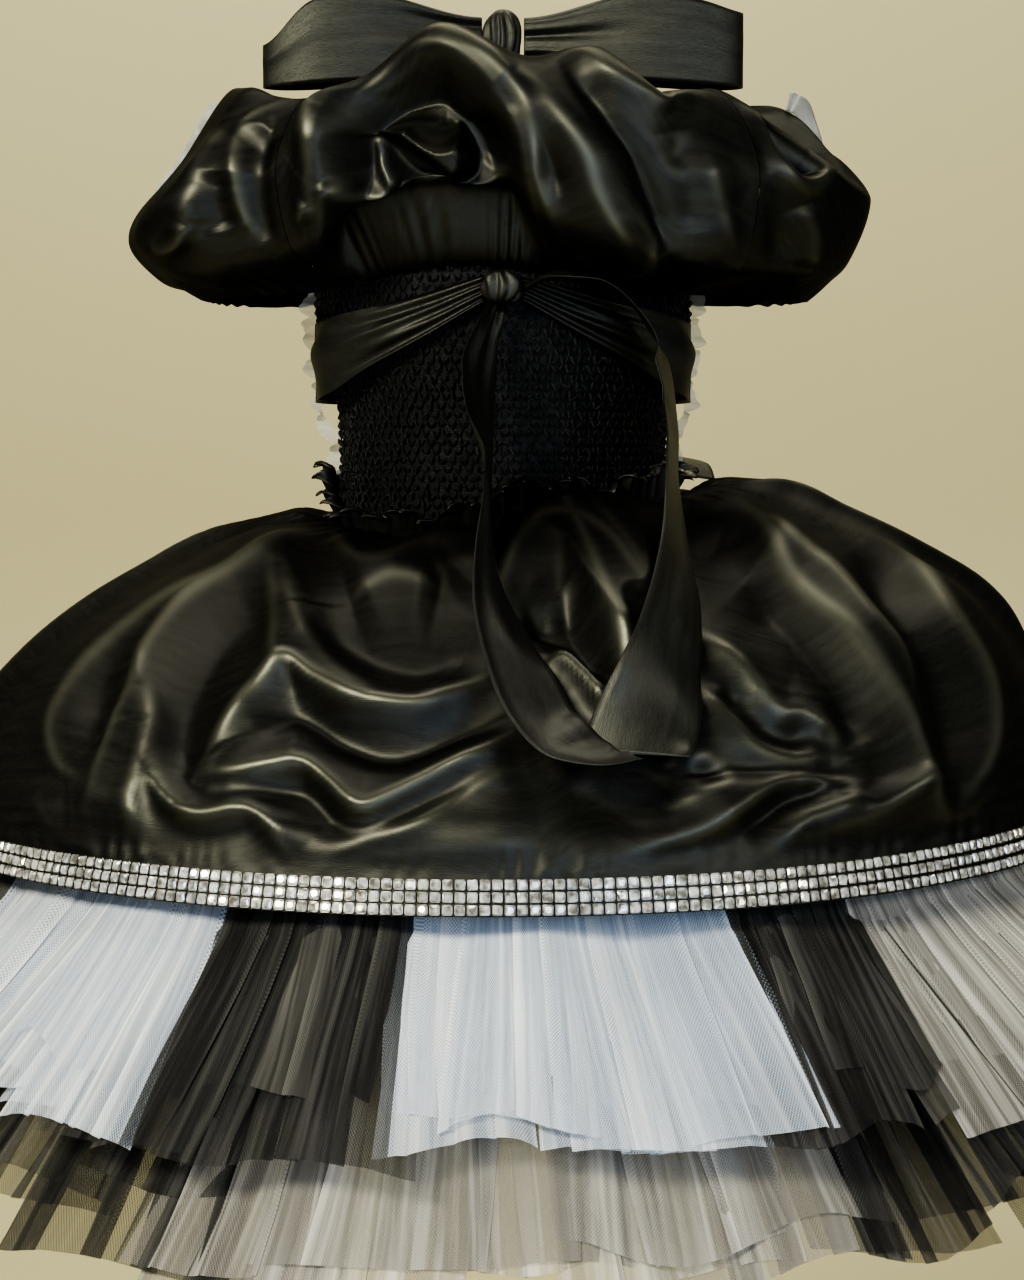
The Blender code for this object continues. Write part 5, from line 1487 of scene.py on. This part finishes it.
def flounce_base(turns, shares):
    """The flounce's plain form on a grid of shares along the section and turns round the body."""
    out, up = flounce_section(turns)
    steps = np.hypot(np.diff(out, axis=-1), np.diff(up, axis=-1))
    lengths = np.concatenate([np.zeros((len(turns), 1)), np.cumsum(steps, axis=-1)], -1)
    outs = np.array([smooth(shares * length[-1], length, row) for length, row in zip(lengths, out)]).T
    ups = np.array([smooth(shares * length[-1], length, row) for length, row in zip(lengths, up)]).T
    along = np.outer(shares, lengths[:, -1])
    point, away = oval(CHEST_HALF_WIDTH, CHEST_HALF_DEPTH, np.broadcast_to(turns, outs.shape))
    return lifted(point + away * outs[..., None], ups), along


def flounce_outward(base, normal):
    """Sign that makes the flounce's direction point out of its bubble, judged at its outermost line."""
    row = int(base.shape[0] * 0.55)
    return 1.0 if (normal[row, :, :2] * base[row, :, :2]).sum() > 0 else -1.0


def flounce_surface(turns, shares):
    """The creased flounce's outer face, its outward direction and its painted crest highlight, on a grid."""
    step = turns[1] - turns[0]
    wide = np.concatenate([[turns[0] - step], turns, [turns[-1] + step]])
    base, along = flounce_base(wide, shares)
    normal = grid_normals(base)
    normal = normal * flounce_outward(base, normal)
    turn = np.broadcast_to(wide, along.shape)
    facing = ramp(-base[..., 1], 20, 70) * ramp(shares, 0.30, 0.42)[:, None]
    places = seen(base)
    shine = np.zeros(along.shape)
    rise = add_creases(np.zeros(along.shape), places, FLOUNCE_CREASES, VIEW_MM_PER_PIXEL, shine)
    rise = add_patches(rise, places, FLOUNCE_PATCHES, VIEW_MM_PER_PIXEL, shine)
    rise = add_creases(rise, places, HOLLOW_CREASES, VIEW_MM_PER_PIXEL, shine) * facing
    shine = shine * facing
    around = np.where(turn < 60, turn + 360, turn)
    side_creases = scaled_places(FLOUNCE_SIDE_CREASES, FLOUNCE_MM_PER_DEGREE)
    rise = add_creases(rise, np.stack([around * FLOUNCE_MM_PER_DEGREE, along], -1), side_creases, 1.0, shine)
    angle = np.radians(turn)
    gathered = (1 - ramp(shares, 0.03, 0.2)) + ramp(shares, 0.84, 0.97)
    gathers = np.sin(angle * NECK_GATHERS + 3 * np.sin(angle * 11)) * (0.5 + 0.5 * np.sin(angle * 17 + 1))
    gathers = gathers * gathered[:, None]
    to_view = np.array([0, -VIEW_DISTANCE, VIEW_HEIGHT]) - base
    turned_away = 1 - ramp(np.abs((normal * to_view).sum(-1)) / np.linalg.norm(to_view, axis=-1), 0.05, 0.5)
    rise = rise * (1 - OUTLINE_KEPT * turned_away * ramp(-base[..., 1], 0, 40)) - OUTLINE_DROP * turned_away
    drift = 0.5 * np.sin(angle * 19 + along * 0.04) * np.sin(angle * 8 - along * 0.03 + 2)
    fades = (ramp(shares, 0.02, 0.2) * (1 - ramp(shares, 0.86, 0.99)))[:, None]
    for _, seam, _ in FLOUNCE_PANELS:
        fades = fades * ramp(np.abs(wrapped(turn - seam)), 0.6, 7.0)
    face = base + normal * ((rise + drift) * fades + gathers * ramp(shares, 0, 0.02)[:, None])[..., None]
    away = grid_normals(face)
    return face[:, 1:-1], (away * flounce_outward(face, away))[:, 1:-1], (shine * fades)[:, 1:-1]


def make_flounce():
    """Off-shoulder satin flounce in four panels, open at the neck, armholes and cuffs."""
    for name, start, end in FLOUNCE_PANELS:
        back = name in ("flounce_back", "puff_left", "puff_right")
        step = 0.46 if back else 0.7
        turns = np.linspace(start + PANEL_GAP / 2, end - PANEL_GAP / 2, round((end - start) / step))
        face, _, shine = flounce_surface(turns, np.linspace(0, 1, 170 if back else 120))
        # The crest map becomes a painted highlight in the satin's colour
        piece = add_sheet(name + "_satin", face, marks={"crest": shine})
        if flounce_outward(face, grid_normals(face)) != outward_sign(face):
            piece.data.flip_normals()
        cut = cut_by_area(measured(piece), FLOUNCE_CUT_LENGTHS[name])
        finish_piece(piece, "black_satin", [name], cut)


def make_sash():
    """Satin ribbon round the ribs: the front band and an arm gathered into the knot from each side."""
    front_turns = np.linspace(*SASH_FRONT_TURNS, 90)
    top, bottom, out = (SASH_ARM[name][-1] for name in ("top", "bottom", "out"))
    share, turn = np.meshgrid(np.linspace(0, 1, 16), front_turns, indexing="ij")
    ripple = 0.5 * np.sin(turn * 0.21 + share * 5) * np.sin(share * math.pi)
    face = lifted(bodice_point(turn, top, out + ripple)[..., :2], top + (bottom - top) * share)
    piece = add_sheet("sash_front_ribbon", face, wall=RIBBON_THICK)
    finish_piece(piece, "black_ribbon", ["sash_front"], (SASH_FRONT_LENGTH, RIBBON_WIDTH))
    for name, side in (("sash_left", -1), ("sash_right", 1)):
        turns = np.linspace(SASH_ARM["turn"][0], SASH_ARM["turn"][-1], 80)
        top, bottom, reach = curves(turns, SASH_ARM["turn"], SASH_ARM, "top", "bottom", "out")
        pinched = 1 - ramp(turns, 20, 70)
        rows = []
        for share in np.linspace(0, 1, 28):
            pleats = 1.3 * math.sin(share * 21 + side) * pinched
            pleats = pleats + 1.4 * np.sin(share * 5 + turns * 0.06) * (1 - pinched)
            sweep = 5.0 * np.exp(-(((share - 0.62 + 0.003 * turns) / 0.22) ** 2)) * ramp(turns, 14, 36)
            fade = 1 - ramp(turns, 70, 79)
            seat = bodice_point(turns * side, top, reach + (pleats + sweep) * fade)
            rows.append(lifted(seat[:, :2], top + (bottom - top) * share))
        piece = add_sheet(name + "_ribbon", np.array(rows), wall=RIBBON_THICK)
        finish_piece(piece, "black_ribbon", [name], (SASH_ARM_LENGTH, RIBBON_WIDTH))
    make_knot("sash_knot_ribbon", "sash_knot", bodice_point(0.0, KNOT_HEIGHT, KNOT_OUT), KNOT_HALF_SIZE, 7)


def make_knot(name, solid, middle, half_size, pleats):
    """A ribbon wound tight into a small knot, its pleats running down."""
    rings, around = 26, 48
    rows = []
    for ring in range(rings + 1):
        polar = math.pi * ring / rings
        angle = np.arange(around) * 2 * math.pi / around
        fold = 0.5 + 0.5 * np.sin(angle * pleats + 1.5 * math.cos(polar * 2) + 1.2 * np.sin(angle * 2))
        groove = 1 - 0.26 * fold**1.5 * abs(math.sin(polar)) ** 0.5 - 0.08 * np.sin(angle * 3 + polar * 2)
        flat = math.sin(polar) ** 0.85 if 0 < polar < math.pi else 0.02
        across = half_size[0] * flat * np.sin(angle) * groove
        along = -half_size[1] * flat * np.cos(angle) * groove
        up = half_size[2] * math.cos(polar) * np.ones(around)
        rows.append(np.stack([across, along, up], -1) * 0.97)
    points = np.array(rows)
    faces = grid_faces(len(rows), around, True)[:, ::-1]
    mesh = build_mesh(name, (points + np.array(middle)).reshape(-1, 3), faces,
                      corners_of(cloth_uv(points, True))[:, ::-1])
    faced_outwards(mesh, joined_within=KNOT_POLE)
    mesh.shade_smooth()
    piece = add_mesh(name, mesh)
    finish_piece(piece, "black_ribbon", [solid], cut_by_area(measured(piece) / 2, KNOT_CUT_LENGTH))


def surface_of(piece):
    """The faces of a piece, ready to be met by a line."""
    shape = bmesh.new()
    shape.from_mesh(piece.data)
    surface = BVHTree.FromBMesh(shape)
    shape.free()
    return surface


def evened(lift, passes):
    """A grid of lifts spread to its neighbours and evened out, nowhere less than it was."""
    for smoothing in (False, True):
        for _ in range(passes):
            wide = np.pad(lift, 1, mode="edge")
            around = [wide[1:-1, 1:-1], wide[:-2, 1:-1], wide[2:, 1:-1], wide[1:-1, :-2], wide[1:-1, 2:]]
            lift = np.mean(around, axis=0) if smoothing else np.max(around, axis=0)
    return lift


def laid_on(points, carrier, clearance, way=(0.0, 0.0, 1.0)):
    """The points moved that way where needed so that they clear the piece below them, in one even sweep."""
    lift = np.zeros(points.shape[:2])
    away = Vector(way)
    for index in np.ndindex(points.shape[:2]):
        place = Vector(points[index]) * MM
        met = carrier.ray_cast(place + away * HIGH_ABOVE * MM, -away, HIGH_ABOVE * 1.1 * MM)[0]
        if met is not None:
            lift[index] = max((met - place).dot(away) / MM + clearance, 0.0)
    return points + evened(lift, 6)[..., None] * np.array(way)


def make_tail(name, solid, table, carriers, curl, cut):
    """One hanging ribbon end, turned on edge where the table says and laid on what is below it."""
    segments, across = 120, 13
    rows = np.arange(len(table["across"]), dtype=float)
    at = np.linspace(0, rows[-1], segments + 1)
    path = np.stack(curves(at, rows, table, "across", "along", "up"), -1)
    roll, broad = (values[:, None] for values in curves(at, rows, table, "roll", "broad"))
    along = unit(np.gradient(path, axis=0))
    facing = np.array([0.0, -0.6, 0.8])
    out = unit(facing - (along @ facing)[:, None] * along)
    roll = np.radians(roll)
    width_way = np.cross(along, out) * np.cos(roll) + out * np.sin(roll)
    thick_way = np.cross(width_way, along)
    half = broad * RIBBON_WIDTH / 2
    pinched = (1 - ramp(at, 0.5, 4.0))[:, None]
    lines = []
    for share in np.linspace(-1, 1, across):
        bend = curl * (share**2 - 0.4) * ramp(at, 3, 7)[:, None]
        pleat = 1.5 * math.sin(share * 7) * pinched
        end = np.zeros((segments + 1, 3))
        end += along * (cut * share * ramp(at, rows[-1] - 1.2, rows[-1]))[:, None]
        lines.append(path + width_way * half * share + thick_way * (bend + pleat) + end)
    face = np.stack(lines)
    resting = np.arange(segments + 1) > segments * 0.3
    for carrier, clearance in carriers:
        face[:, resting] = laid_on(face[:, resting], carrier, clearance, OFF_THE_SKIRT)
    piece = add_sheet(name, face, wall=TAIL_THICK)
    length = float(np.linalg.norm(np.diff(path, axis=0), axis=-1).sum())
    finish_piece(piece, "black_ribbon", [solid], (RIBBON_WIDTH, length))
    return piece


def make_tails():
    """The sash's two hanging ends, the left one laid over the right one."""
    on_skirt = (surface_of(bpy.data.objects["satin_overskirt"]), TAIL_CLEARANCE)
    right = make_tail("tail_right_ribbon", "tail_right", RIGHT_TAIL, [on_skirt], -1.6, 9.0)
    on_right = (surface_of(right), CROSSING_CLEARANCE)
    make_tail("tail_left_ribbon", "tail_left", LEFT_TAIL, [on_skirt, on_right], 1.2, 4.0)


def sash_reach(heights):
    """How far out from the bodice the front band of the sash reaches at each height."""
    edge = smooth(SASH_ARM["top"][-1], BODICE["height"], BODICE["half_width"]) + SASH_ARM["out"][-1]
    return edge + SEAM_GAP - smooth(heights, BODICE["height"], BODICE["half_width"])


def make_side_ruffles():
    """White gathered organza standing out from each side of the front."""
    for name, side in (("ruffle_left", -1), ("ruffle_right", 1)):
        steps = RUFFLE_WAVES * 24
        step = np.arange(steps + 1) / 6
        heights = np.linspace(RUFFLE_TOP, RUFFLE_FOOT, steps + 1)
        phase = step * math.pi / 2
        swing = RUFFLE_SWING * (np.sin(phase) + 0.18 * np.sin(phase * 3))
        lobe = np.abs(np.sin(phase / 2 + 0.5 + 0.2 * np.sin(step * 0.7 + side))) ** 0.55
        stands = RUFFLE_STANDS * (0.30 + 0.74 * lobe * (0.86 + 0.14 * np.sin(step * 0.9 + side)))
        over_sash = ramp(heights, 34, 54) * (1 - ramp(heights, 106, 118))
        root = SEAM_GAP + 0.4 + over_sash * sash_reach(heights)
        rows = []
        for share in np.linspace(0, 1, 12):
            turn = side * (RUFFLE_TURN + np.degrees(swing / 100) * (0.15 + 0.85 * share**1.2))
            lift = 1.2 * share * np.sin(phase + side)
            rows.append(bodice_point(turn, heights + lift, root + (stands - 0.5 * root) * share))
        piece = add_sheet(name + "_organza", np.array(rows))
        cut = cut_by_area(measured(piece), RUFFLE_STANDS)
        finish_piece(piece, "white_organza", [name], cut)


def make_shoulder_trims():
    """White ribbon trims that stand on the front slope of each puff."""
    names = ("shoulder_trim_left", "shoulder_trim_right")
    rows = zip(names, *(SHOULDER_TRIM[key] for key in ("turn", "from_length", "to_length", "stands")))
    for name, turn, start, end, stands in rows:
        turns = np.array([turn - 1.5, turn, turn + 1.5])
        length = flounce_base(turns, np.array([0.0, 1.0]))[1][-1, 1]
        patch, away, _ = flounce_surface(turns, np.linspace(start, end, 40) / length)
        seat, away = patch[:, 1], away[:, 1]
        wave = 0.5 * np.sin(np.arange(40) * 0.7)[:, None] * np.array([0, 1.0, 0])
        face = np.stack([seat + away * (SEAM_GAP + 0.1 + (stands - 0.5) * share) + wave * share
                         for share in np.linspace(0, 1, 9)])
        piece = add_sheet(name + "_ribbon", face, wall=TRIM_THICK)
        cut = cut_by_area(measured(piece) / 2, stands)
        finish_piece(piece, "white_ribbon", [name], cut)


def make_bow():
    """Wide ribbon bow on the front neckline: a loop to each side, and its knot."""
    for side, (name, taper) in zip((-1, 1), BOW_TAPERS.items()):
        share = np.linspace(0, 1, 121)
        angle = share * 2 * math.pi
        reach = KNOT_HALF_WIDTH + 0.1 + (BOW_REACH - KNOT_HALF_WIDTH) * (0.5 - 0.5 * np.cos(angle)) ** 0.8
        swell = BOW_BELLY * np.sin(angle) * (0.35 + 0.65 * reach / BOW_REACH)
        belly = BOW_MIDDLE_DEPTH + swell + (0.5 - share) * BOW_ENDS_APART
        full = BOW_PINCHED_TALL + (BOW_TALL - BOW_PINCHED_TALL) * ramp(reach, 15, 85)
        tall = full * (1 - taper * ramp(reach, 108, 150) ** 1.5)
        middle = BOW_MIDDLE_UP - 4 * ramp(reach, 60, 150) - (full - tall) / 2
        rows = []
        for up in np.linspace(1, -1, 21):
            pleats = (1.3 * math.sin(up * 6 + side) + 0.7 * math.sin(up * 13)) * (1 - ramp(reach, 20, 95))
            dent = 1.5 * np.exp(-((up - 0.25) ** 2) / 0.08) * ramp(reach, 40, 90) * np.cos(angle)
            rows.append(np.stack([side * reach, belly + pleats + dent, middle + up * tall / 2], -1))
        piece = add_sheet(name + "_ribbon", np.array(rows), wall=RIBBON_THICK)
        finish_piece(piece, "black_ribbon", [name], (BOW_TALL, BOW_CUT_LENGTH))
    make_knot("bow_knot_ribbon", "bow_knot", (0, BOW_MIDDLE_DEPTH, BOW_MIDDLE_UP), BOW_KNOT_HALF_SIZE, 9)


def make_waist_ribbon():
    """Short black ribbon end at the right side of the waist, laid over the skirt's shoulder."""
    share, across = np.meshgrid(np.linspace(0, 2, 25), np.linspace(0, 2, 15), indexing="ij")
    table = np.arange(3.0)
    out, height = (
        np.array([[smooth(s, table, np.array([smooth(a, table, row) for row in grid])) for s, a in zip(*pair)]
                  for pair in zip(share, across)])
        for grid in (WAIST_RIBBON_OUTS, WAIST_RIBBON_HEIGHTS)
    )
    face = bodice_point(WAIST_RIBBON_TURN + across * WAIST_RIBBON_COLUMN, height, out)
    face[6:] = laid_on(face[6:], surface_of(bpy.data.objects["satin_overskirt"]), TAIL_CLEARANCE)
    piece = add_sheet("waist_ribbon_end_ribbon", face, wall=TAIL_THICK)
    cut = cut_by_area(measured(piece) / 2, WAIST_RIBBON_CUT_LENGTH)
    finish_piece(piece, "black_ribbon", ["waist_ribbon_end"], cut)


def make_backdrop():
    """Plain pale floor that bends up into the backdrop."""
    profile = [(FLOOR_NEAR, FLOOR_HEIGHT), (FLOOR_FAR, FLOOR_HEIGHT)]
    for step in range(1, 17):
        angle = step / 16 * math.pi / 2
        profile.append((FLOOR_FAR + BACKDROP_BEND * math.sin(angle),
                        FLOOR_HEIGHT + BACKDROP_BEND * (1 - math.cos(angle))))
    profile.append((FLOOR_FAR + BACKDROP_BEND, BACKDROP_TOP))
    points = [(side * BACKDROP_HALF_WIDTH, along, up) for along, up in profile for side in (-1, 1)]
    faces = [(row * 2, row * 2 + 1, row * 2 + 3, row * 2 + 2) for row in range(len(profile) - 1)]
    mesh = bpy.data.meshes.new("backdrop")
    mesh.from_pydata(points, [], faces)
    mesh.shade_smooth()
    mesh.materials.append(material_called("Pale backdrop"))
    add_mesh("backdrop", mesh)


def make_lights():
    """Soft studio lights and a faint sky."""
    for title, light in LIGHTS.items():
        lamp = bpy.data.lights.new(title, "AREA")
        lamp.shape = "RECTANGLE"
        lamp.size, lamp.size_y = light.size
        lamp.energy = light.power * settings().light_strength
        lamp.color = light.colour
        lit = link(bpy.data.objects.new(title, lamp))
        lit.location = light.place
        lit.rotation_euler = (Vector(light.aim) - Vector(light.place)).to_track_quat("-Z", "Y").to_euler()
    world = bpy.context.scene.world or bpy.data.worlds.new("World")
    bpy.context.scene.world = world
    world.use_nodes = True
    sky = world.node_tree.nodes["Background"]
    feed(world.node_tree, sky, {"Color": SKY_COLOUR, "Strength": SKY_STRENGTH})


def make_camera():
    """The camera that stands where the picture was taken from."""
    bpy.context.scene.view_settings.view_transform = "AgX"
    bpy.context.scene.view_settings.look = "AgX - High Contrast"
    camera = bpy.data.cameras.new("camera")
    camera.sensor_width = 36.0
    camera.lens = camera.sensor_width * VIEW_FOCAL / PHOTO_TALL
    camera.shift_x = (PHOTO_WIDE / 2 - VIEW_MIDDLE_X) / PHOTO_TALL
    camera.clip_start = 0.05
    placed = link(bpy.data.objects.new("camera", camera))
    placed.location = (0, -VIEW_DISTANCE * MM, VIEW_HEIGHT * MM)
    placed.rotation_euler = (math.pi / 2 - VIEW_TILT, 0, 0)
    bpy.context.scene.camera = placed


def make_stage():
    """Everything round the dress."""
    make_backdrop()
    make_lights()
    make_camera()


# Settings, operators and panel


class DressSettings(bpy.types.PropertyGroup):
    """Sizes and colours of the dress that a user would change."""

    satin_colour: FloatVectorProperty(
        name="Satin", description="Colour of the satin's threads", subtype="COLOR", size=3,
        default=(0.060, 0.060, 0.053), min=0, max=1,
    )
    ribbon_colour: FloatVectorProperty(
        name="Ribbon", description="Colour of the sash's and bow's threads", subtype="COLOR", size=3,
        default=(0.085, 0.085, 0.074), min=0, max=1,
    )
    # The colour of the satin's painted highlight on its crests
    painted_crest_colour: FloatVectorProperty(
        name="Crests", description="Colour of the satin where it is tightly bent", subtype="COLOR", size=3,
        default=(0.16, 0.16, 0.13), min=0, max=1,
    )
    satin_roughness: FloatProperty(
        name="Satin roughness", description="How widely the satin's gloss spreads",
        subtype="FACTOR", default=0.49, min=0.1, max=0.9,
    )
    crochet_width: FloatProperty(
        name="Crochet width", description="Width of one crochet loop", unit="LENGTH", default=0.0066,
    )
    crochet_height: FloatProperty(
        name="Crochet height", description="Height of one row of crochet loops", unit="LENGTH",
        default=0.0050,
    )
    stone_rows: IntProperty(
        name="Stone rows", description="Rows of stones along the hem", default=3, min=1, max=6,
    )
    stone_pitch: FloatProperty(
        name="Stone pitch", description="From one stone to the next along the hem", unit="LENGTH",
        default=0.00565,
    )
    stone_size: FloatProperty(
        name="Stone size", description="Width of one square stone", unit="LENGTH", default=0.0044,
    )
    backdrop_colour: FloatVectorProperty(
        name="Backdrop", description="Colour of the floor and backdrop", subtype="COLOR", size=3,
        default=(0.68, 0.63, 0.40), min=0, max=1,
    )
    light_strength: FloatProperty(
        name="Light strength", description="Strength of all the lights", default=1.0, min=0.0, max=10.0,
    )


class DRESS_OT_bodice(bpy.types.Operator):
    """Build the stretch crochet tube, its loops and the knitted ground behind them"""

    bl_idname = "dress.bodice"
    bl_label = "Crochet bodice"
    bl_options = {"REGISTER", "UNDO"}

    def execute(self, context):
        make_bodice()
        return {"FINISHED"}


class DRESS_OT_overskirt(bpy.types.Operator):
    """Build the gathered and creased satin overskirt"""

    bl_idname = "dress.overskirt"
    bl_label = "Satin overskirt"
    bl_options = {"REGISTER", "UNDO"}

    def execute(self, context):
        make_overskirt()
        return {"FINISHED"}


class DRESS_OT_header(bpy.types.Operator):
    """Build the frill that stands above the overskirt's elastic channel"""

    bl_idname = "dress.header"
    bl_label = "Waist frill"
    bl_options = {"REGISTER", "UNDO"}

    def execute(self, context):
        make_header()
        return {"FINISHED"}


class DRESS_OT_stones(bpy.types.Operator):
    """Build the tape of square stones along the overskirt's hem"""

    bl_idname = "dress.stones"
    bl_label = "Stone trim"
    bl_options = {"REGISTER", "UNDO"}

    def execute(self, context):
        make_stones()
        return {"FINISHED"}


class DRESS_OT_tulle(bpy.types.Operator):
    """Build both layers of knotted tulle strips"""

    bl_idname = "dress.tulle"
    bl_label = "Tulle layers"
    bl_options = {"REGISTER", "UNDO"}

    def execute(self, context):
        make_tulle()
        return {"FINISHED"}


class DRESS_OT_flounce(bpy.types.Operator):
    """Build the flounce's four satin panels"""

    bl_idname = "dress.flounce"
    bl_label = "Shoulder flounce"
    bl_options = {"REGISTER", "UNDO"}

    def execute(self, context):
        make_flounce()
        return {"FINISHED"}


class DRESS_OT_sash(bpy.types.Operator):
    """Build the ribbon round the ribs and its knot"""

    bl_idname = "dress.sash"
    bl_label = "Sash"
    bl_options = {"REGISTER", "UNDO"}

    def execute(self, context):
        make_sash()
        return {"FINISHED"}


class DRESS_OT_tails(bpy.types.Operator):
    """Build the sash's two hanging ends"""

    bl_idname = "dress.tails"
    bl_label = "Sash tails"
    bl_options = {"REGISTER", "UNDO"}

    def execute(self, context):
        make_tails()
        return {"FINISHED"}


class DRESS_OT_ruffles(bpy.types.Operator):
    """Build the organza ruffles at the sides of the front"""

    bl_idname = "dress.ruffles"
    bl_label = "Side ruffles"
    bl_options = {"REGISTER", "UNDO"}

    def execute(self, context):
        make_side_ruffles()
        return {"FINISHED"}


class DRESS_OT_shoulder_trims(bpy.types.Operator):
    """Build the ribbon trims on the puffs"""

    bl_idname = "dress.shoulder_trims"
    bl_label = "Shoulder trims"
    bl_options = {"REGISTER", "UNDO"}

    def execute(self, context):
        make_shoulder_trims()
        return {"FINISHED"}


class DRESS_OT_bow(bpy.types.Operator):
    """Build the bow on the front neckline"""

    bl_idname = "dress.bow"
    bl_label = "Front bow"
    bl_options = {"REGISTER", "UNDO"}

    def execute(self, context):
        make_bow()
        return {"FINISHED"}


class DRESS_OT_waist_ribbon(bpy.types.Operator):
    """Build the ribbon end at the right side of the waist"""

    bl_idname = "dress.waist_ribbon"
    bl_label = "Waist ribbon end"
    bl_options = {"REGISTER", "UNDO"}

    def execute(self, context):
        make_waist_ribbon()
        return {"FINISHED"}


class DRESS_OT_stage(bpy.types.Operator):
    """Build the floor, backdrop, lights and camera"""

    bl_idname = "dress.stage"
    bl_label = "Stage"
    bl_options = {"REGISTER", "UNDO"}

    def execute(self, context):
        make_stage()
        return {"FINISHED"}


OPERATORS = (
    DRESS_OT_bodice, DRESS_OT_overskirt, DRESS_OT_header, DRESS_OT_stones, DRESS_OT_tulle,
    DRESS_OT_flounce, DRESS_OT_sash, DRESS_OT_tails, DRESS_OT_ruffles, DRESS_OT_shoulder_trims,
    DRESS_OT_bow, DRESS_OT_waist_ribbon, DRESS_OT_stage,
)


class DRESS_PT_panel(bpy.types.Panel):
    """Lists the dress's settings and pieces."""

    bl_label = "Tutu dress"
    bl_idname = "DRESS_PT_panel"
    bl_space_type = "VIEW_3D"
    bl_region_type = "UI"
    bl_category = "Tutu dress"

    def draw(self, context):
        for key in DressSettings.__annotations__:
            self.layout.prop(context.scene.tutu_dress, key)
        for made in OPERATORS:
            self.layout.operator(made.bl_idname)


CLASSES = (DressSettings, *OPERATORS, DRESS_PT_panel)


def register():
    """Adds the settings, operators and panel."""
    for made in CLASSES:
        bpy.utils.register_class(made)
    bpy.types.Scene.tutu_dress = PointerProperty(type=DressSettings)


def unregister():
    """Takes them away again."""
    del bpy.types.Scene.tutu_dress
    for made in reversed(CLASSES):
        bpy.utils.unregister_class(made)


def main():
    """Builds the whole dress and its stage."""
    register()
    bpy.ops.dress.bodice()
    bpy.ops.dress.overskirt()
    bpy.ops.dress.header()
    bpy.ops.dress.stones()
    bpy.ops.dress.tulle()
    bpy.ops.dress.flounce()
    bpy.ops.dress.sash()
    bpy.ops.dress.tails()
    bpy.ops.dress.ruffles()
    bpy.ops.dress.shoulder_trims()
    bpy.ops.dress.bow()
    bpy.ops.dress.waist_ribbon()
    bpy.ops.dress.stage()


if __name__ == "__main__":
    main()
